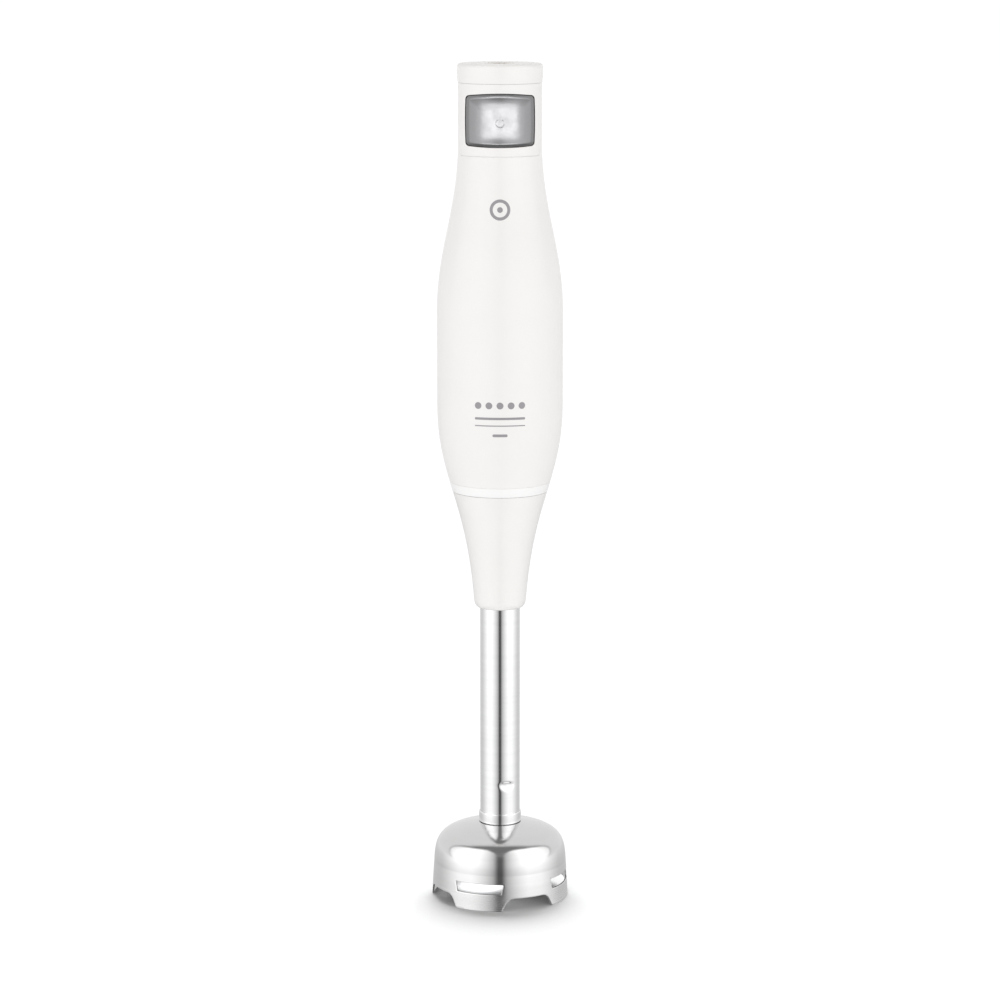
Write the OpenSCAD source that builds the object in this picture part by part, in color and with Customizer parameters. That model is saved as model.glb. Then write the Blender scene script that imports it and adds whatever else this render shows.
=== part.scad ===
// Immersion blender: a motor handle, and a steel blending foot that pulls off it.
// Millimetres, +Z up, front towards -Y. The origin is the centre of the plane that the bell stands on.

/* [Overall] */
// Height from the bell's teeth to the top of the cap
total_h = 400; // [397:1:404]
// Height of the parting line between the foot and the handle
joint_z = 198.2; // [196:0.2:200]

/* [Handle] */
// Widest diameter of the grip
grip_d = 59.4; // [58:0.2:61]
// Diameter of the neck around the power button
neck_d = 39.2; // [38.8:0.2:40]
// Wall of the two half shells
shell_wall = 2.2; // [2:0.1:2.4]
// Height of the coupling ring
ring_h = 4.6; // [4.2:0.1:5]
// Height of the top cap
cap_h = 9; // [8:0.5:10]

/* [Power button] */
// Width of the button
button_w = 31.9; // [31:0.1:33]
// Height of the button at its middle
button_h = 24.4; // [22:0.1:24.6]
// Inward travel of the button
button_travel = 2.5; // [1.5:0.1:2.7]

/* [Motor] */
// Diameter of the stator stack
stator_d = 47; // [46:0.5:48]
// Height of the stator stack
stack_h = 40; // [36:1:42]
// Bore of the stator
stator_bore_d = 24.6; // [24.4:0.1:25]
// Diameter of the armature shaft and the drive shaft
shaft_d = 6; // [5:0.5:6]

/* [Foot] */
// Diameter of the shaft tube
tube_d = 19; // [18.6:0.1:19.4]
// Diameter of the bell at its rim
bell_d = 65.6; // [63:0.2:67]
// Thickness of the bell's sheet
bell_wall = 0.9; // [0.8:0.1:1.1]
// Direction of the first tooth, counted from +X
tooth_angle = 70.8; // [60:0.1:80]
// Diameter that the blade tips sweep
blade_d = 48; // [44:1:52]

/* [Hidden] */
$fn = 96;

// Clearances
fit = 0.05;       // between parts that are assembled and stay put, on the radius
running = 0.03;   // between a turning shaft and its bush, on the radius
sliding = 0.3;    // around a part that slides
eps = 0.01;       // overlap of cutting shapes

// Colours
cream = [0.96, 0.94, 0.90];
white = [0.97, 0.97, 0.97];
silver = [0.72, 0.72, 0.73];
steel = [0.78, 0.79, 0.80];
dark_steel = [0.45, 0.46, 0.48];
grey_plastic = [0.55, 0.56, 0.58];
black_plastic = [0.10, 0.10, 0.11];
rubber = [0.16, 0.16, 0.17];
copper = [0.72, 0.42, 0.22];
brass = [0.80, 0.66, 0.36];
board_green = [0.10, 0.35, 0.20];

// Radii that follow from the driving dimensions
grip_r = grip_d / 2;
neck_r = neck_d / 2;
tube_r = tube_d / 2;
tube_bore_r = tube_r - 0.9;
shaft_r = shaft_d / 2;
stator_r = stator_d / 2;
stator_bore_r = stator_bore_d / 2;
bell_r = bell_d / 2;

// Outline of the body: a curve from the foot's narrow end up to the grip, and one from the grip to the neck
waist_r = 12.2;
waist_z = joint_z - 55.2;
grip_low_z = joint_z + 41.8;
grip_high_z = grip_low_z + 44;
neck_z = grip_high_z + 80;
low_curve = [[waist_r, waist_z], [waist_r + 3.6, waist_z + 52], [grip_r, grip_low_z - 36.5], [grip_r, grip_low_z]];
high_curve = [[grip_r, grip_high_z], [grip_r, grip_high_z + 30], [neck_r, neck_z - 32], [neck_r, neck_z]];

// Levels of the handle
ring_top = joint_z + ring_h;
cap_z = total_h - cap_h;
tongue_h = 2;                   // height of the shells' tongues that the ring and the cap close over
housing_z = ring_top + 0.2;     // bottom of the socket housing
socket_floor_z = joint_z + 19.3;
mount_z = socket_floor_z + 4;   // seat of the lower rubber mount
bracket_z = mount_z + 3.6;      // underside of the lower motor bracket
stack_z = joint_z + 44.8;       // underside of the stator stack
stack_top = stack_z + stack_h;
plate_z = stack_top + 6.5;      // underside of the brush plate
brush_z = plate_z + 7;          // axis of the brushes
bridge_z = plate_z + 14;        // underside of the upper bracket's bridge
screw_low_z = bridge_z + 14.5;  // lower pair of housing screws
screw_high_z = cap_z - 39;      // upper pair of housing screws
board_z = bridge_z + 17;        // bottom of the circuit board
board_top = cap_z - 5;
button_z = cap_z - 17;          // middle of the button

// Socket and spigot
socket_r = 16.7;
spigot_r = socket_r - sliding;
spigot_top = joint_z + 16.8;
skirt_r = 19.2;                 // outside of the coupling ring's skirt
skirt_top = ring_top + 4.2;
clip_z = joint_z + 14.6;        // middle of the retaining clip
clip_r = 16.9;
clip_wire_r = 0.7;
well_r = 12.5;                  // inside of the spigot, around the dogs
well_z = joint_z - 10.2;
key_w = 3;                      // the spigot's two keys, which stop the foot from turning
key_r = 17.7;

// Levels of the foot
bell_h = 36.3;
collar_z = bell_h + 0.2;
collar_top = collar_z + 5;
flange_z = bell_h - bell_wall - 1.1;   // top of the bearing carrier's flange, under the bell
tube_top = joint_z - 26.2;
bush_len = 12;
hub_low_z = 20.5;               // bottom of the bearing carrier
blade_z = 11.1;                 // bottom of the blade's hub
blade_hub_h = 7.5;

// Teeth, gaps and slots of the bell
tooth_count = 4;
tooth_tip_deg = 41.5;
gap_h = 6.2;
slot_z = 8.2;
slot_h = 4.8;
slot_deg = 44;

// Power button: a rounded rectangle whose four sides bulge a little
button_r = neck_r + 0.4;
button_arch = 1.2;              // rise of the top edge in its middle
button_sag = 0.6;               // drop of the bottom edge in its middle
button_bow = 0.3;               // bulge of each side
button_corner_r = 1.5;
panel_deg = 139;                // span of the switch panel round the neck
panel_low_z = cap_z - 33.4;

// ---- Curves -------------------------------------------------------------------------------------

// Point of a cubic curve at t
function bezier(c, t) =
    pow(1 - t, 3) * c[0] + 3 * pow(1 - t, 2) * t * c[1] + 3 * (1 - t) * t * t * c[2] + pow(t, 3) * c[3];

// t at which a rising curve reaches height z, by halving
function curve_t(c, z, low = 0, high = 1, steps = 24) =
    let (mid = (low + high) / 2)
    steps == 0 ? mid :
    bezier(c, mid).y < z ? curve_t(c, z, mid, high, steps - 1) : curve_t(c, z, low, mid, steps - 1);

// Radius of the body's outline at height z
function body_r(z) =
    z <= waist_z ? waist_r :
    z < grip_low_z ? bezier(low_curve, curve_t(low_curve, z)).x :
    z <= grip_high_z ? grip_r :
    z < neck_z ? bezier(high_curve, curve_t(high_curve, z)).x : neck_r;

// Outline from z0 up to z1, moved inwards by inset, in steps of about 4 mm where it curves
function outline(z0, z1, inset = 0) =
    let (n = ceil((z1 - z0) / 4))
    [for (i = [0 : n])
        let (z = z0 + (z1 - z0) * i / n)
        if (i == 0 || i == n || z < grip_low_z || (z > grip_high_z && z < neck_z)) [body_r(z) - inset, z]];

function reversed(list) = [for (i = [len(list) - 1 : -1 : 0]) list[i]];

// Points of an arc
function arc(centre, r, from, to, n = 6) =
    [for (i = [0 : n]) let (a = from + (to - from) * i / n) centre + r * [cos(a), sin(a)]];

// Points of a straight side
function side(from, to, n = 10) = [for (i = [1 : n - 1]) from + (to - from) * i / n];

// Rounded rectangle around the origin. Each side bulges outwards in its middle, and gap widens it all round
function bulged_box(w, h, arch, sag, bow, r, gap) =
    let (x = w / 2 - bow + gap, y = (h - arch - sag) / 2 + gap,
         right = [x - r, y - r], left = [-x + r, y - r], down = [0, 2 * r - 2 * y],
         plain = concat(
             side([x, -y + r], [x, y - r]), arc(right, r, 0, 90, 4),
             side([x - r, y], [-x + r, y]), arc(left, r, 90, 180, 4),
             side([-x, y - r], [-x, -y + r]), arc(left + down, r, 180, 270, 4),
             side([-x + r, -y], [x - r, -y]), arc(right + down, r, 270, 360, 4)))
    [for (p = plain)
        [p.x * (1 + bow / x * (1 - pow(p.y / y, 2))),
         p.y + (p.y > 0 ? arch : -sag) * abs(p.y / y) * (1 - pow(p.x / x, 2))]];

// ---- Building blocks ----------------------------------------------------------------------------

// Ring or disc between two heights
module ring(z0, z1, r_out, r_in = 0) {
    difference() {
        translate([0, 0, z0]) cylinder(h = z1 - z0, r = r_out);
        if (r_in > 0) translate([0, 0, z0 - 1]) cylinder(h = z1 - z0 + 2, r = r_in);
    }
}

// Box between two corners
module block(low, high) {
    translate(low) cube(high - low);
}

// The same shape on the other side of the YZ plane too
module both_sides() {
    children();
    mirror([1, 0, 0]) children();
}

// Round bar along Y, at x and z
module bar_y(x, z, y0, y1, r) {
    translate([x, y0, z]) rotate([-90, 0, 0]) cylinder(h = y1 - y0, r = r);
}

// Upright sheet shape drawn in X and Z, from y0 to y1
module sheet_y(points, y0, y1) {
    translate([0, y1, 0]) rotate([90, 0, 0]) linear_extrude(y1 - y0) polygon(points);
}

// Part of a ring between two angles
module sector(z0, z1, r_out, r_in, from, to) {
    rotate_extrude(angle = to - from, start = from) translate([r_in, z0]) square([r_out - r_in, z1 - z0]);
}

// Round wire of radius r along a list of points
module wire(path, r, sides = 8) {
    last = len(path) - 1;
    points = [for (i = [0 : last], k = [0 : sides - 1])
        let (d = path[min(i + 1, last)] - path[max(i - 1, 0)],
             u = cross(d, [0.1, 0.2, 1]) / norm(cross(d, [0.1, 0.2, 1])),
             v = cross(d, u) / norm(d),
             a = 360 * k / sides)
        path[i] + r * (cos(a) * u + sin(a) * v)];
    skin = [for (i = [0 : last - 1], k = [0 : sides - 1])
        let (a = i * sides + k, b = i * sides + (k + 1) % sides)
        each [[a, b, b + sides], [a, b + sides, a + sides]]];
    caps = [[for (k = [sides - 1 : -1 : 0]) k], [for (k = [0 : sides - 1]) last * sides + k]];
    polyhedron(points, concat(skin, caps));
}

// Coil spring along Y, its axis at x = 0 and z = 0
module spring_y(y0, y1, r, wire_r, turns) {
    steps = turns * 14;
    wire([for (i = [0 : steps])
        let (a = 360 * turns * i / steps) [r * cos(a), y0 + wire_r + (y1 - y0 - 2 * wire_r) * i / steps, r * sin(a)]],
        wire_r, 6);
}

// Screw along -Z: the head's underside is at the origin
module screw(r, length, head_r, head_h) {
    difference() {
        union() {
            translate([0, 0, -length]) cylinder(h = length + eps, r = r);
            cylinder(h = head_h, r = head_r);
        }
        for (a = [0, 90])
            rotate([0, 0, a]) translate([-head_r * 0.6, -0.4, head_h * 0.5]) cube([head_r * 1.2, 0.8, head_h]);
    }
}

// ---- Handle shells ------------------------------------------------------------------------------

screw_r = 1.5;
screw_head_y = 6;               // depth at which the screw heads sit
boss_r = 3.2;
screw_low_x = body_r(screw_low_z) - shell_wall - 5;
screw_high_x = body_r(screw_high_z) - shell_wall - 5;
screw_places = [[screw_low_x, screw_low_z], [screw_high_x, screw_high_z]];
rib_z = bridge_z + 6;           // shelf around the upper rubber mount
rib_r = 13.1;
stop_z = bracket_z;             // shelf above the socket housing

// Wall of one half shell, with a tongue at either end
module half_wall(start) {
    profile = concat(
        outline(ring_top - tongue_h, ring_top, shell_wall / 2),
        outline(ring_top, cap_z),
        [[neck_r - shell_wall / 2, cap_z], [neck_r - shell_wall / 2, cap_z + tongue_h]],
        [[neck_r - shell_wall, cap_z + tongue_h]],
        reversed(outline(ring_top - tongue_h, cap_z, shell_wall)));
    rotate_extrude(angle = 180, start = start) polygon(profile);
}

// Half of a shelf that reaches in from the wall to radius r_in
module half_shelf(z, h, r_in, start) {
    profile = concat(outline(z, z + h, shell_wall - eps), [[r_in, z + h], [r_in, z]]);
    rotate_extrude(angle = 180, start = start) polygon(profile);
}

// What lies inside the body's outline, from the ring up to the cap
module body_inside() {
    rotate_extrude()
        polygon(concat([[0, ring_top]], outline(ring_top, cap_z, shell_wall / 2), [[0, cap_z]]));
}

// Screw bosses of the half shell on the side of y_wall
module bosses(y_wall) {
    intersection() {
        body_inside();
        both_sides()
            for (p = screw_places)
                bar_y(p.x, p.y, min(0, y_wall), max(0, y_wall), boss_r);
    }
}

module front_shell() {
    color(cream)
        difference() {
            union() {
                half_wall(180);
                half_shelf(rib_z, 3, rib_r, 180);
                half_shelf(stop_z, 2, skirt_r + 3.6, 180);
                bosses(-grip_r);
            }
            // pilot holes
            both_sides()
                for (p = screw_places)
                    bar_y(p.x, p.y, -10, eps, screw_r + fit);
            // window for the switch panel
            sector(panel_low_z, cap_z + eps, grip_r, neck_r - 5, -90 - panel_deg / 2, -90 + panel_deg / 2);
        }
}

module rear_shell() {
    color(cream)
        difference() {
            union() {
                half_wall(0);
                half_shelf(rib_z, 3, rib_r, 0);
                half_shelf(stop_z, 2, skirt_r + 3.6, 0);
                bosses(grip_r);
                // rails that hold the circuit board by its edges
                intersection() {
                    body_inside();
                    both_sides()
                        for (z = [board_z + 4, panel_low_z + 1]) {
                            block([board_w / 2 + 0.1, 0.05, z], [board_w / 2 + 1.5, grip_r, z + 7]);
                            block([board_w / 2 - 0.8, board_y + board_t + 0.1, z], [board_w / 2 + 1, grip_r, z + 7]);
                        }
                }
            }
            both_sides()
                for (p = screw_places) {
                    bar_y(p.x, p.y, -eps, grip_r, screw_r + 0.15);
                    bar_y(p.x, p.y, screw_head_y, grip_r, 2.8);
                }
            // way through the shelf for the motor leads
            both_sides() block([7, 14, rib_z - 1], [13, 21.4, rib_z + 4]);
        }
}

module top_cap() {
    edge_r = 2.4;
    rim_r = neck_r + 0.45;
    profile = concat(
        [[neck_r - shell_wall / 2 + 0.1, cap_z + 0.1], [neck_r + 0.1, cap_z + 0.1]],
        arc([rim_r - 1.2, cap_z + 1.3], 1.2, -50, 0, 4),
        arc([rim_r - edge_r, total_h - edge_r], edge_r, 8, 90, 8),
        [[7, total_h], [7, total_h - 1], [5.2, total_h - 1], [5.2, total_h - 2.5], [15.2, total_h - 2.5]],
        [[15.2, cap_z + 0.1], [neck_r - shell_wall - 0.1, cap_z + 0.1]],
        [[neck_r - shell_wall - 0.1, cap_z + tongue_h + 0.1]],
        [[neck_r - shell_wall / 2 + 0.1, cap_z + tongue_h + 0.1]]);
    color(cream) rotate_extrude() polygon(profile);
}

module cord_gland() {
    color(cream)
        rotate_extrude()
            polygon([[3.6, total_h - 10], [5.1, total_h - 10], [6.4, total_h - 4.4], [6.4, total_h - 2.6],
                [5.1, total_h - 2.6], [5.1, total_h - 0.9], [6.8, total_h - 0.9], [6.8, total_h - 0.1],
                [3.6, total_h - 0.1]]);
}

// ---- Power button -------------------------------------------------------------------------------

// Outline of the button, grown by gap all round
function button_points(gap) =
    [for (p = bulged_box(button_w, button_h, button_arch, button_sag, button_bow, button_corner_r, gap)) p + [0, button_z]];

hook_y = -(neck_r - shell_wall - 3.3);   // front of the hooks that keep the button in

module switch_panel() {
    half = panel_deg / 2 - 0.25;
    color(cream)
        difference() {
            union() {
                sector(panel_low_z + 0.1, cap_z - 0.1, neck_r, neck_r - shell_wall - 2, -90 - half, -90 + half);
                intersection() {
                    ring(panel_low_z - 2.3, panel_low_z + 1, neck_r - shell_wall - 0.1, neck_r - shell_wall - 2);
                    block([-11, -grip_r, 0], [11, -3, total_h]);
                }
            }
            sheet_y(button_points(sliding), -grip_r, 0);
        }
}

module power_button() {
    color(silver)
        union() {
            intersection() {
                ring(button_z - button_h, button_z + button_h, button_r, button_r - 2.4);
                sheet_y(button_points(0), -grip_r, -5.8);
            }
            // stem that works the switch and centres the spring
            bar_y(0, button_z, -button_r + 1, stem_y, 2.2);
            // hooks behind the panel's upper and lower edges
            for (side = [-1, 1]) {
                block([-5, -button_r + 1.2, button_z + side * (button_h / 2 - 1.6) - 0.9],
                    [5, hook_y + 1.4, button_z + side * (button_h / 2 - 1.6) + 0.9]);
                block([-5, hook_y, button_z + side * (button_h / 2) - 1.9],
                    [5, hook_y + 1.4, button_z + side * (button_h / 2) + 1.9]);
            }
        }
}

stem_y = -11.5;        // end of the button's stem, against the plunger
switch_y = -8.5;       // front of the micro switch

module switch_plunger() {
    color([0.75, 0.12, 0.10]) bar_y(0, button_z, stem_y, -6, 1.4);
}

module button_spring() {
    color(steel)
        translate([0, 0, button_z]) spring_y(-button_r + 2.6, switch_y - 0.1, 3.3, 0.35, 5);
}

// ---- Coupling -----------------------------------------------------------------------------------

// Keyways for the spigot's two keys
module keyways() {
    for (a = [0, 180])
        rotate([0, 0, a])
            block([0, -key_w / 2 - sliding, joint_z - 1], [key_r + 0.4, key_w / 2 + sliding, joint_z + 13.2]);
}

module coupling_ring() {
    groove_z = ring_top - tongue_h - 0.2;
    lip = shell_wall / 2 - 0.1;
    wall = shell_wall + 0.1;
    profile = concat(
        [[socket_r, joint_z + 0.1]],
        outline(joint_z + 0.1, ring_top - 0.1),
        reversed(outline(groove_z, ring_top - 0.1, lip)),
        outline(groove_z, ring_top - 0.1, wall),
        [[skirt_r, ring_top - 0.1], [skirt_r, skirt_top], [socket_r, skirt_top]]);
    color(white)
        difference() {
            rotate_extrude() polygon(profile);
            keyways();
        }
}

module socket_housing() {
    wall = shell_wall + 0.1;
    profile = concat(
        [[skirt_r + 0.1, housing_z]],
        outline(housing_z, bracket_z - 0.3, wall),
        [[14.1, bracket_z - 0.3], [14.1, mount_z], [7, mount_z], [7, socket_floor_z]],
        [[socket_r, socket_floor_z], [socket_r, clip_z + 0.9], [18.2, clip_z + 0.9], [18.2, clip_z - 0.9]],
        [[socket_r, clip_z - 0.9], [socket_r, skirt_top + 0.1], [skirt_r + 0.1, skirt_top + 0.1]]);
    color(grey_plastic)
        difference() {
            rotate_extrude() polygon(profile);
            keyways();
        }
}

module retaining_clip() {
    color(steel)
        translate([0, 0, clip_z])
            rotate_extrude(angle = 320, start = 110) translate([clip_r, 0]) circle(r = clip_wire_r, $fn = 24);
}

// ---- Electrics ----------------------------------------------------------------------------------

board_w = 18;
board_t = 1.6;
board_y = 0.3;       // front face of the board
rear_y = board_y + board_t + fit;

module circuit_board() {
    color(board_green)
        difference() {
            block([-board_w / 2, board_y, board_z], [board_w / 2, board_y + board_t, board_top]);
            for (x = [-6, 6]) bar_y(x, board_z + 3, -1, 3, 1);
        }
}

module micro_switch() {
    color(black_plastic)
        difference() {
            block([-6.4, switch_y, button_z - 5.5], [6.4, board_y - fit, button_z + 5.5]);
            bar_y(0, button_z, switch_y - 1, -6 + button_travel + 0.4, 1.4 + sliding / 2);
        }
}

module terminal_block() {
    color([0.85, 0.86, 0.84])
        difference() {
            block([-7, rear_y, board_top - 13], [7, rear_y + 8, board_top - 2]);
            for (x = [-3.4, 3.4]) {
                translate([x, rear_y + 3, board_top - 12]) cylinder(h = 12, r = 1.6);
                bar_y(x, board_top - 7.5, rear_y + 4, rear_y + 9, 1.9);
            }
        }
}

module filter_capacitor() {
    color([0.85, 0.68, 0.15]) block([-7.4, rear_y, board_top - 34], [7.4, rear_y + 7, board_top - 20]);
}

module noise_chokes() {
    z = board_z + 5;
    both_sides() {
        color(dark_steel) translate([4.2, rear_y + 3.6, z]) cylinder(h = 20, r = 2);
        color(copper)
            for (i = [0 : 6]) translate([4.2, rear_y + 3.6, z + 2.2 + 2.2 * i]) cylinder(h = 2.2, r = i % 2 == 0 ? 3.4 : 3.1);
    }
}

module bleed_resistor() {
    z = board_z + 18;
    color([0.30, 0.55, 0.62])
        translate([0, -2, z]) rotate([0, 90, 0]) {
            translate([0, 0, -4]) cylinder(h = 8, r = 1.4);
            translate([0, 0, -6]) cylinder(h = 12, r = 0.4);
        }
}

// Two leads, from the board down through the shelf to the brush holders
module motor_leads() {
    color([0.70, 0.10, 0.08])
        both_sides()
            wire([for (i = [0 : 14])
                let (t = i / 14)
                bezier([[6, rear_y + 1.2, board_z + 3], [8, 26, board_z - 6], [15, 19, brush_z + 8], [5, 19.2, brush_z + 3.4]], t)],
                0.8);
}

// ---- Motor --------------------------------------------------------------------------------------

coil_in_r = stator_bore_r + 0.8;
coil_out_r = coil_in_r + 5.4;
motor_screw_x = stator_r - 2.5;
motor_screw_r = 1.4;
bearing_h = 5;

// Places of the motor's two long screws
module motor_screw_places() {
    for (x = [-motor_screw_x, motor_screw_x]) translate([x, 0, 0]) children();
}

module stator_stack() {
    color(dark_steel)
        difference() {
            ring(stack_z, stack_top, stator_r, stator_bore_r);
            // slots for the sides of the two field coils
            for (a = [39, 121, 219, 301])
                sector(stack_z - 1, stack_top + 1, coil_out_r + 0.1, stator_bore_r - 1, a, a + 20);
            motor_screw_places() translate([0, 0, stack_z - 1]) cylinder(h = stack_h + 2, r = motor_screw_r + 0.1);
            // flats at the front and the back
            for (a = [90, 270])
                rotate([0, 0, a]) block([stator_r - 1.2, -20, stack_z - 1], [stator_r + 2, 20, stack_top + 1]);
        }
}

// Each coil goes round one pole: two sides in the slots and a turn over either end
module field_coils() {
    end_h = 5;
    color(copper)
        for (a = [0, 180])
            rotate([0, 0, a])
                difference() {
                    sector(stack_z - end_h, stack_top + end_h, coil_out_r, coil_in_r, 40, 140);
                    sector(stack_z - 0.4, stack_top + 0.4, coil_out_r + 1, coil_in_r - 1, 58, 122);
                }
}

module lower_motor_bracket() {
    hub_z = mount_z + 1;
    color(silver)
        difference() {
            union() {
                ring(hub_z, bracket_z + 5.4, 10.5);
                ring(bracket_z, bracket_z + 3.9, stator_r - 1.2);
                both_sides() block([motor_screw_x - 2, -4, bracket_z + 3.4], [motor_screw_x + 2.2, 4, stack_z - 0.05]);
            }
            ring(hub_z + 1, bracket_z + 6, 8 + fit);
            ring(hub_z - 1, hub_z + 2, 5);
            motor_screw_places() translate([0, 0, bracket_z + 4.5]) cylinder(h = stack_h, r = motor_screw_r + 0.1);
            // air openings in the disc
            for (a = [45 : 90 : 315])
                sector(bracket_z - 1, bracket_z + 5, stator_r - 4, 12.5, a - 28, a + 28);
        }
}

module upper_motor_bracket() {
    leg_x = coil_out_r - 3;
    color(silver)
        difference() {
            union() {
                both_sides() {
                    block([leg_x, -4, stack_top + 0.05], [stator_r - 0.3, 4, stack_top + 3]);
                    block([leg_x, -4, stack_top + 0.05], [leg_x + 2.6, 4, bridge_z + 3.4]);
                }
                ring(plate_z, plate_z + 2.5, 20, 9.5);
                block([-leg_x - eps, -4, bridge_z], [leg_x + eps, 4, bridge_z + 3.4]);
                ring(bridge_z, bridge_z + 9, 9);
            }
            ring(bridge_z - 1, bridge_z + bearing_h + 1.1, 6.5 + fit);
            ring(bridge_z + bearing_h, bridge_z + 8, 4);
            motor_screw_places() translate([0, 0, stack_top - 1]) cylinder(h = 5, r = motor_screw_r + 0.1);
        }
}

// Sintered ball race: two rings with a groove between them
module bearing(z, h, r_out) {
    difference() {
        ring(z, z + h, r_out, shaft_r + fit / 2);
        for (side = [z - 1, z + h - 0.5]) ring(side, side + 1.5, r_out - 1.6, shaft_r + 1.4);
    }
}

module lower_bearing() {
    color(steel) bearing(mount_z + 2, 6, 8);
}

module upper_bearing() {
    color(steel) bearing(bridge_z + 1, bearing_h, 6.5);
}

module lower_motor_mount() {
    color(rubber)
        difference() {
            ring(mount_z + fit, bracket_z - fit, 14, 10.6);
            for (a = [30 : 60 : 330]) rotate([0, 0, a]) translate([14, 0, mount_z]) cylinder(h = 5, r = 0.8);
        }
}

module upper_motor_mount() {
    color(rubber)
        difference() {
            ring(rib_z - 1.2, rib_z + 4.2, 15, 9 + fit);
            ring(rib_z - fit, rib_z + 3 + fit, 16, rib_r - fit);
        }
}

brush_w = 5;
brush_h = 4.4;
holder_wall = 0.7;
holder_end = 19;

// The same shape at the front and at the back of the commutator
module both_brushes() {
    children();
    mirror([0, 1, 0]) children();
}

module brush_holders() {
    w = brush_w / 2 + fit;
    h = brush_h / 2 + fit;
    color(brass)
        both_brushes()
            difference() {
                union() {
                    block([-w - holder_wall, 8, brush_z - h - holder_wall], [w + holder_wall, holder_end, brush_z + h + holder_wall]);
                    block([-w - 2, 10.5, plate_z + 2.5 + fit], [w + 2, 17.5, brush_z - h]);
                }
                block([-w, 7, brush_z - h], [w, holder_end - holder_wall, brush_z + h]);
            }
}

module carbon_brushes() {
    color([0.13, 0.13, 0.14])
        both_brushes()
            difference() {
                block([-brush_w / 2, 6, brush_z - brush_h / 2], [brush_w / 2, 14, brush_z + brush_h / 2]);
                ring(brush_z - 5, brush_z + 5, commutator_r + fit);
            }
}

module brush_springs() {
    color(steel)
        both_brushes()
            translate([0, 0, brush_z]) spring_y(14.05, holder_end - holder_wall - 0.05, 1.6, 0.25, 4);
}

module motor_screws() {
    color(steel)
        motor_screw_places()
            translate([0, 0, stack_top + 3.05]) screw(motor_screw_r, stack_top - bracket_z - 4, 2.3, 1.9);
}

module housing_screws() {
    color(dark_steel)
        both_sides()
            for (p = screw_places)
                translate([p.x, screw_head_y + fit, p.y]) rotate([-90, 0, 0]) screw(screw_r, 14, 2.6, 2);
}

// ---- Rotor --------------------------------------------------------------------------------------

core_r = stator_bore_r - 0.6;
slot_count = 12;
commutator_r = 6.5;
dog_r = 9;
dog_z = joint_z + 7.2;      // lower ends of the motor dog's jaws
jaw_h = 4;
jaw_deg = 66;
shaft_hole_r = shaft_r + 0.02;

module armature_shaft() {
    color(steel) ring(dog_z + jaw_h + 1.2, bridge_z + 7.5, shaft_r);
}

module armature_core() {
    color(dark_steel)
        difference() {
            ring(stack_z + 0.5, stack_top - 0.5, core_r, shaft_hole_r);
            for (i = [0 : slot_count - 1])
                rotate([0, 0, 360 * i / slot_count])
                    block([core_r - 4.4, -0.8, stack_z - 1], [core_r + 1, 0.8, stack_top + 1]);
        }
}

module armature_windings() {
    color(copper) {
        for (i = [0 : slot_count - 1])
            rotate([0, 0, 360 * i / slot_count])
                block([core_r - 4.3, -0.75, stack_z - 1], [core_r - 0.5, 0.75, stack_top + 1]);
        for (end = [[stack_z - 4.6, stack_z + 0.4], [stack_top - 0.4, stack_top + 4.6]])
            rotate_extrude()
                polygon(concat(
                    [[shaft_r + 0.8, end[0]]],
                    arc([core_r - 1.9, end[0] + 1.4], 1.4, -90, 0, 4),
                    arc([core_r - 1.9, end[1] - 1.4], 1.4, 0, 90, 4),
                    [[shaft_r + 0.8, end[1]]]));
    }
}

module commutator() {
    color(copper)
        difference() {
            union() {
                ring(brush_z - 5, brush_z + 5, commutator_r, shaft_hole_r);
                ring(brush_z - 6.6, brush_z - 5, commutator_r + 1, shaft_hole_r);
            }
            for (i = [0 : slot_count - 1])
                rotate([0, 0, 360 * (i + 0.5) / slot_count])
                    block([commutator_r - 0.7, -0.2, brush_z - 7], [commutator_r + 2, 0.2, brush_z + 6]);
        }
}

module cooling_fan() {
    fan_z = bracket_z + 6.4;
    fan_r = 18.6;
    color(black_plastic)
        difference() {
            union() {
                ring(fan_z, fan_z + 1, fan_r);
                ring(fan_z, fan_z + 4.6, 5.2);
                for (i = [0 : 8])
                    rotate([0, 0, 40 * i])
                        translate([5, 0, fan_z]) rotate([0, 0, 14]) cube([13.2, 0.9, 4.6]);
            }
            ring(fan_z - 1, fan_z + 6, shaft_hole_r);
        }
}

// Two jaws of a dog clutch between z0 and z1, turned by angle
module jaws(z0, z1, angle) {
    for (a = [angle, angle + 180]) sector(z0, z1, dog_r, 3.6, a - jaw_deg / 2, a + jaw_deg / 2);
}

module motor_dog() {
    disc_z = dog_z + jaw_h;
    color(black_plastic)
        difference() {
            union() {
                jaws(dog_z, disc_z + eps, 90);
                ring(disc_z, disc_z + 3.2, dog_r);
                ring(disc_z + 3, disc_z + 9, 5.5);
            }
            ring(disc_z + 1.15, disc_z + 10, shaft_hole_r);
        }
}

// ---- Foot ---------------------------------------------------------------------------------------

module foot_cone() {
    low_z = waist_z - 1.2;
    bore_r = tube_r + fit;
    // the lower edge is rounded like a quarter of an upright ellipse
    lip = [body_r(low_z + 4.5) - bore_r - 0.2, 4.5];
    profile = concat(
        [[bore_r, low_z]],
        [for (a = [-90 : 11.25 : 0]) [bore_r + 0.2 + lip.x * cos(a), low_z + lip.y * (1 + sin(a))]],
        outline(low_z + lip.y + 1, joint_z - 0.1),
        reversed(outline(waist_z + 4, joint_z - 0.1, shell_wall)),
        [[bore_r, waist_z + 4]]);
    color(cream) rotate_extrude() polygon(profile);
}

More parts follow.
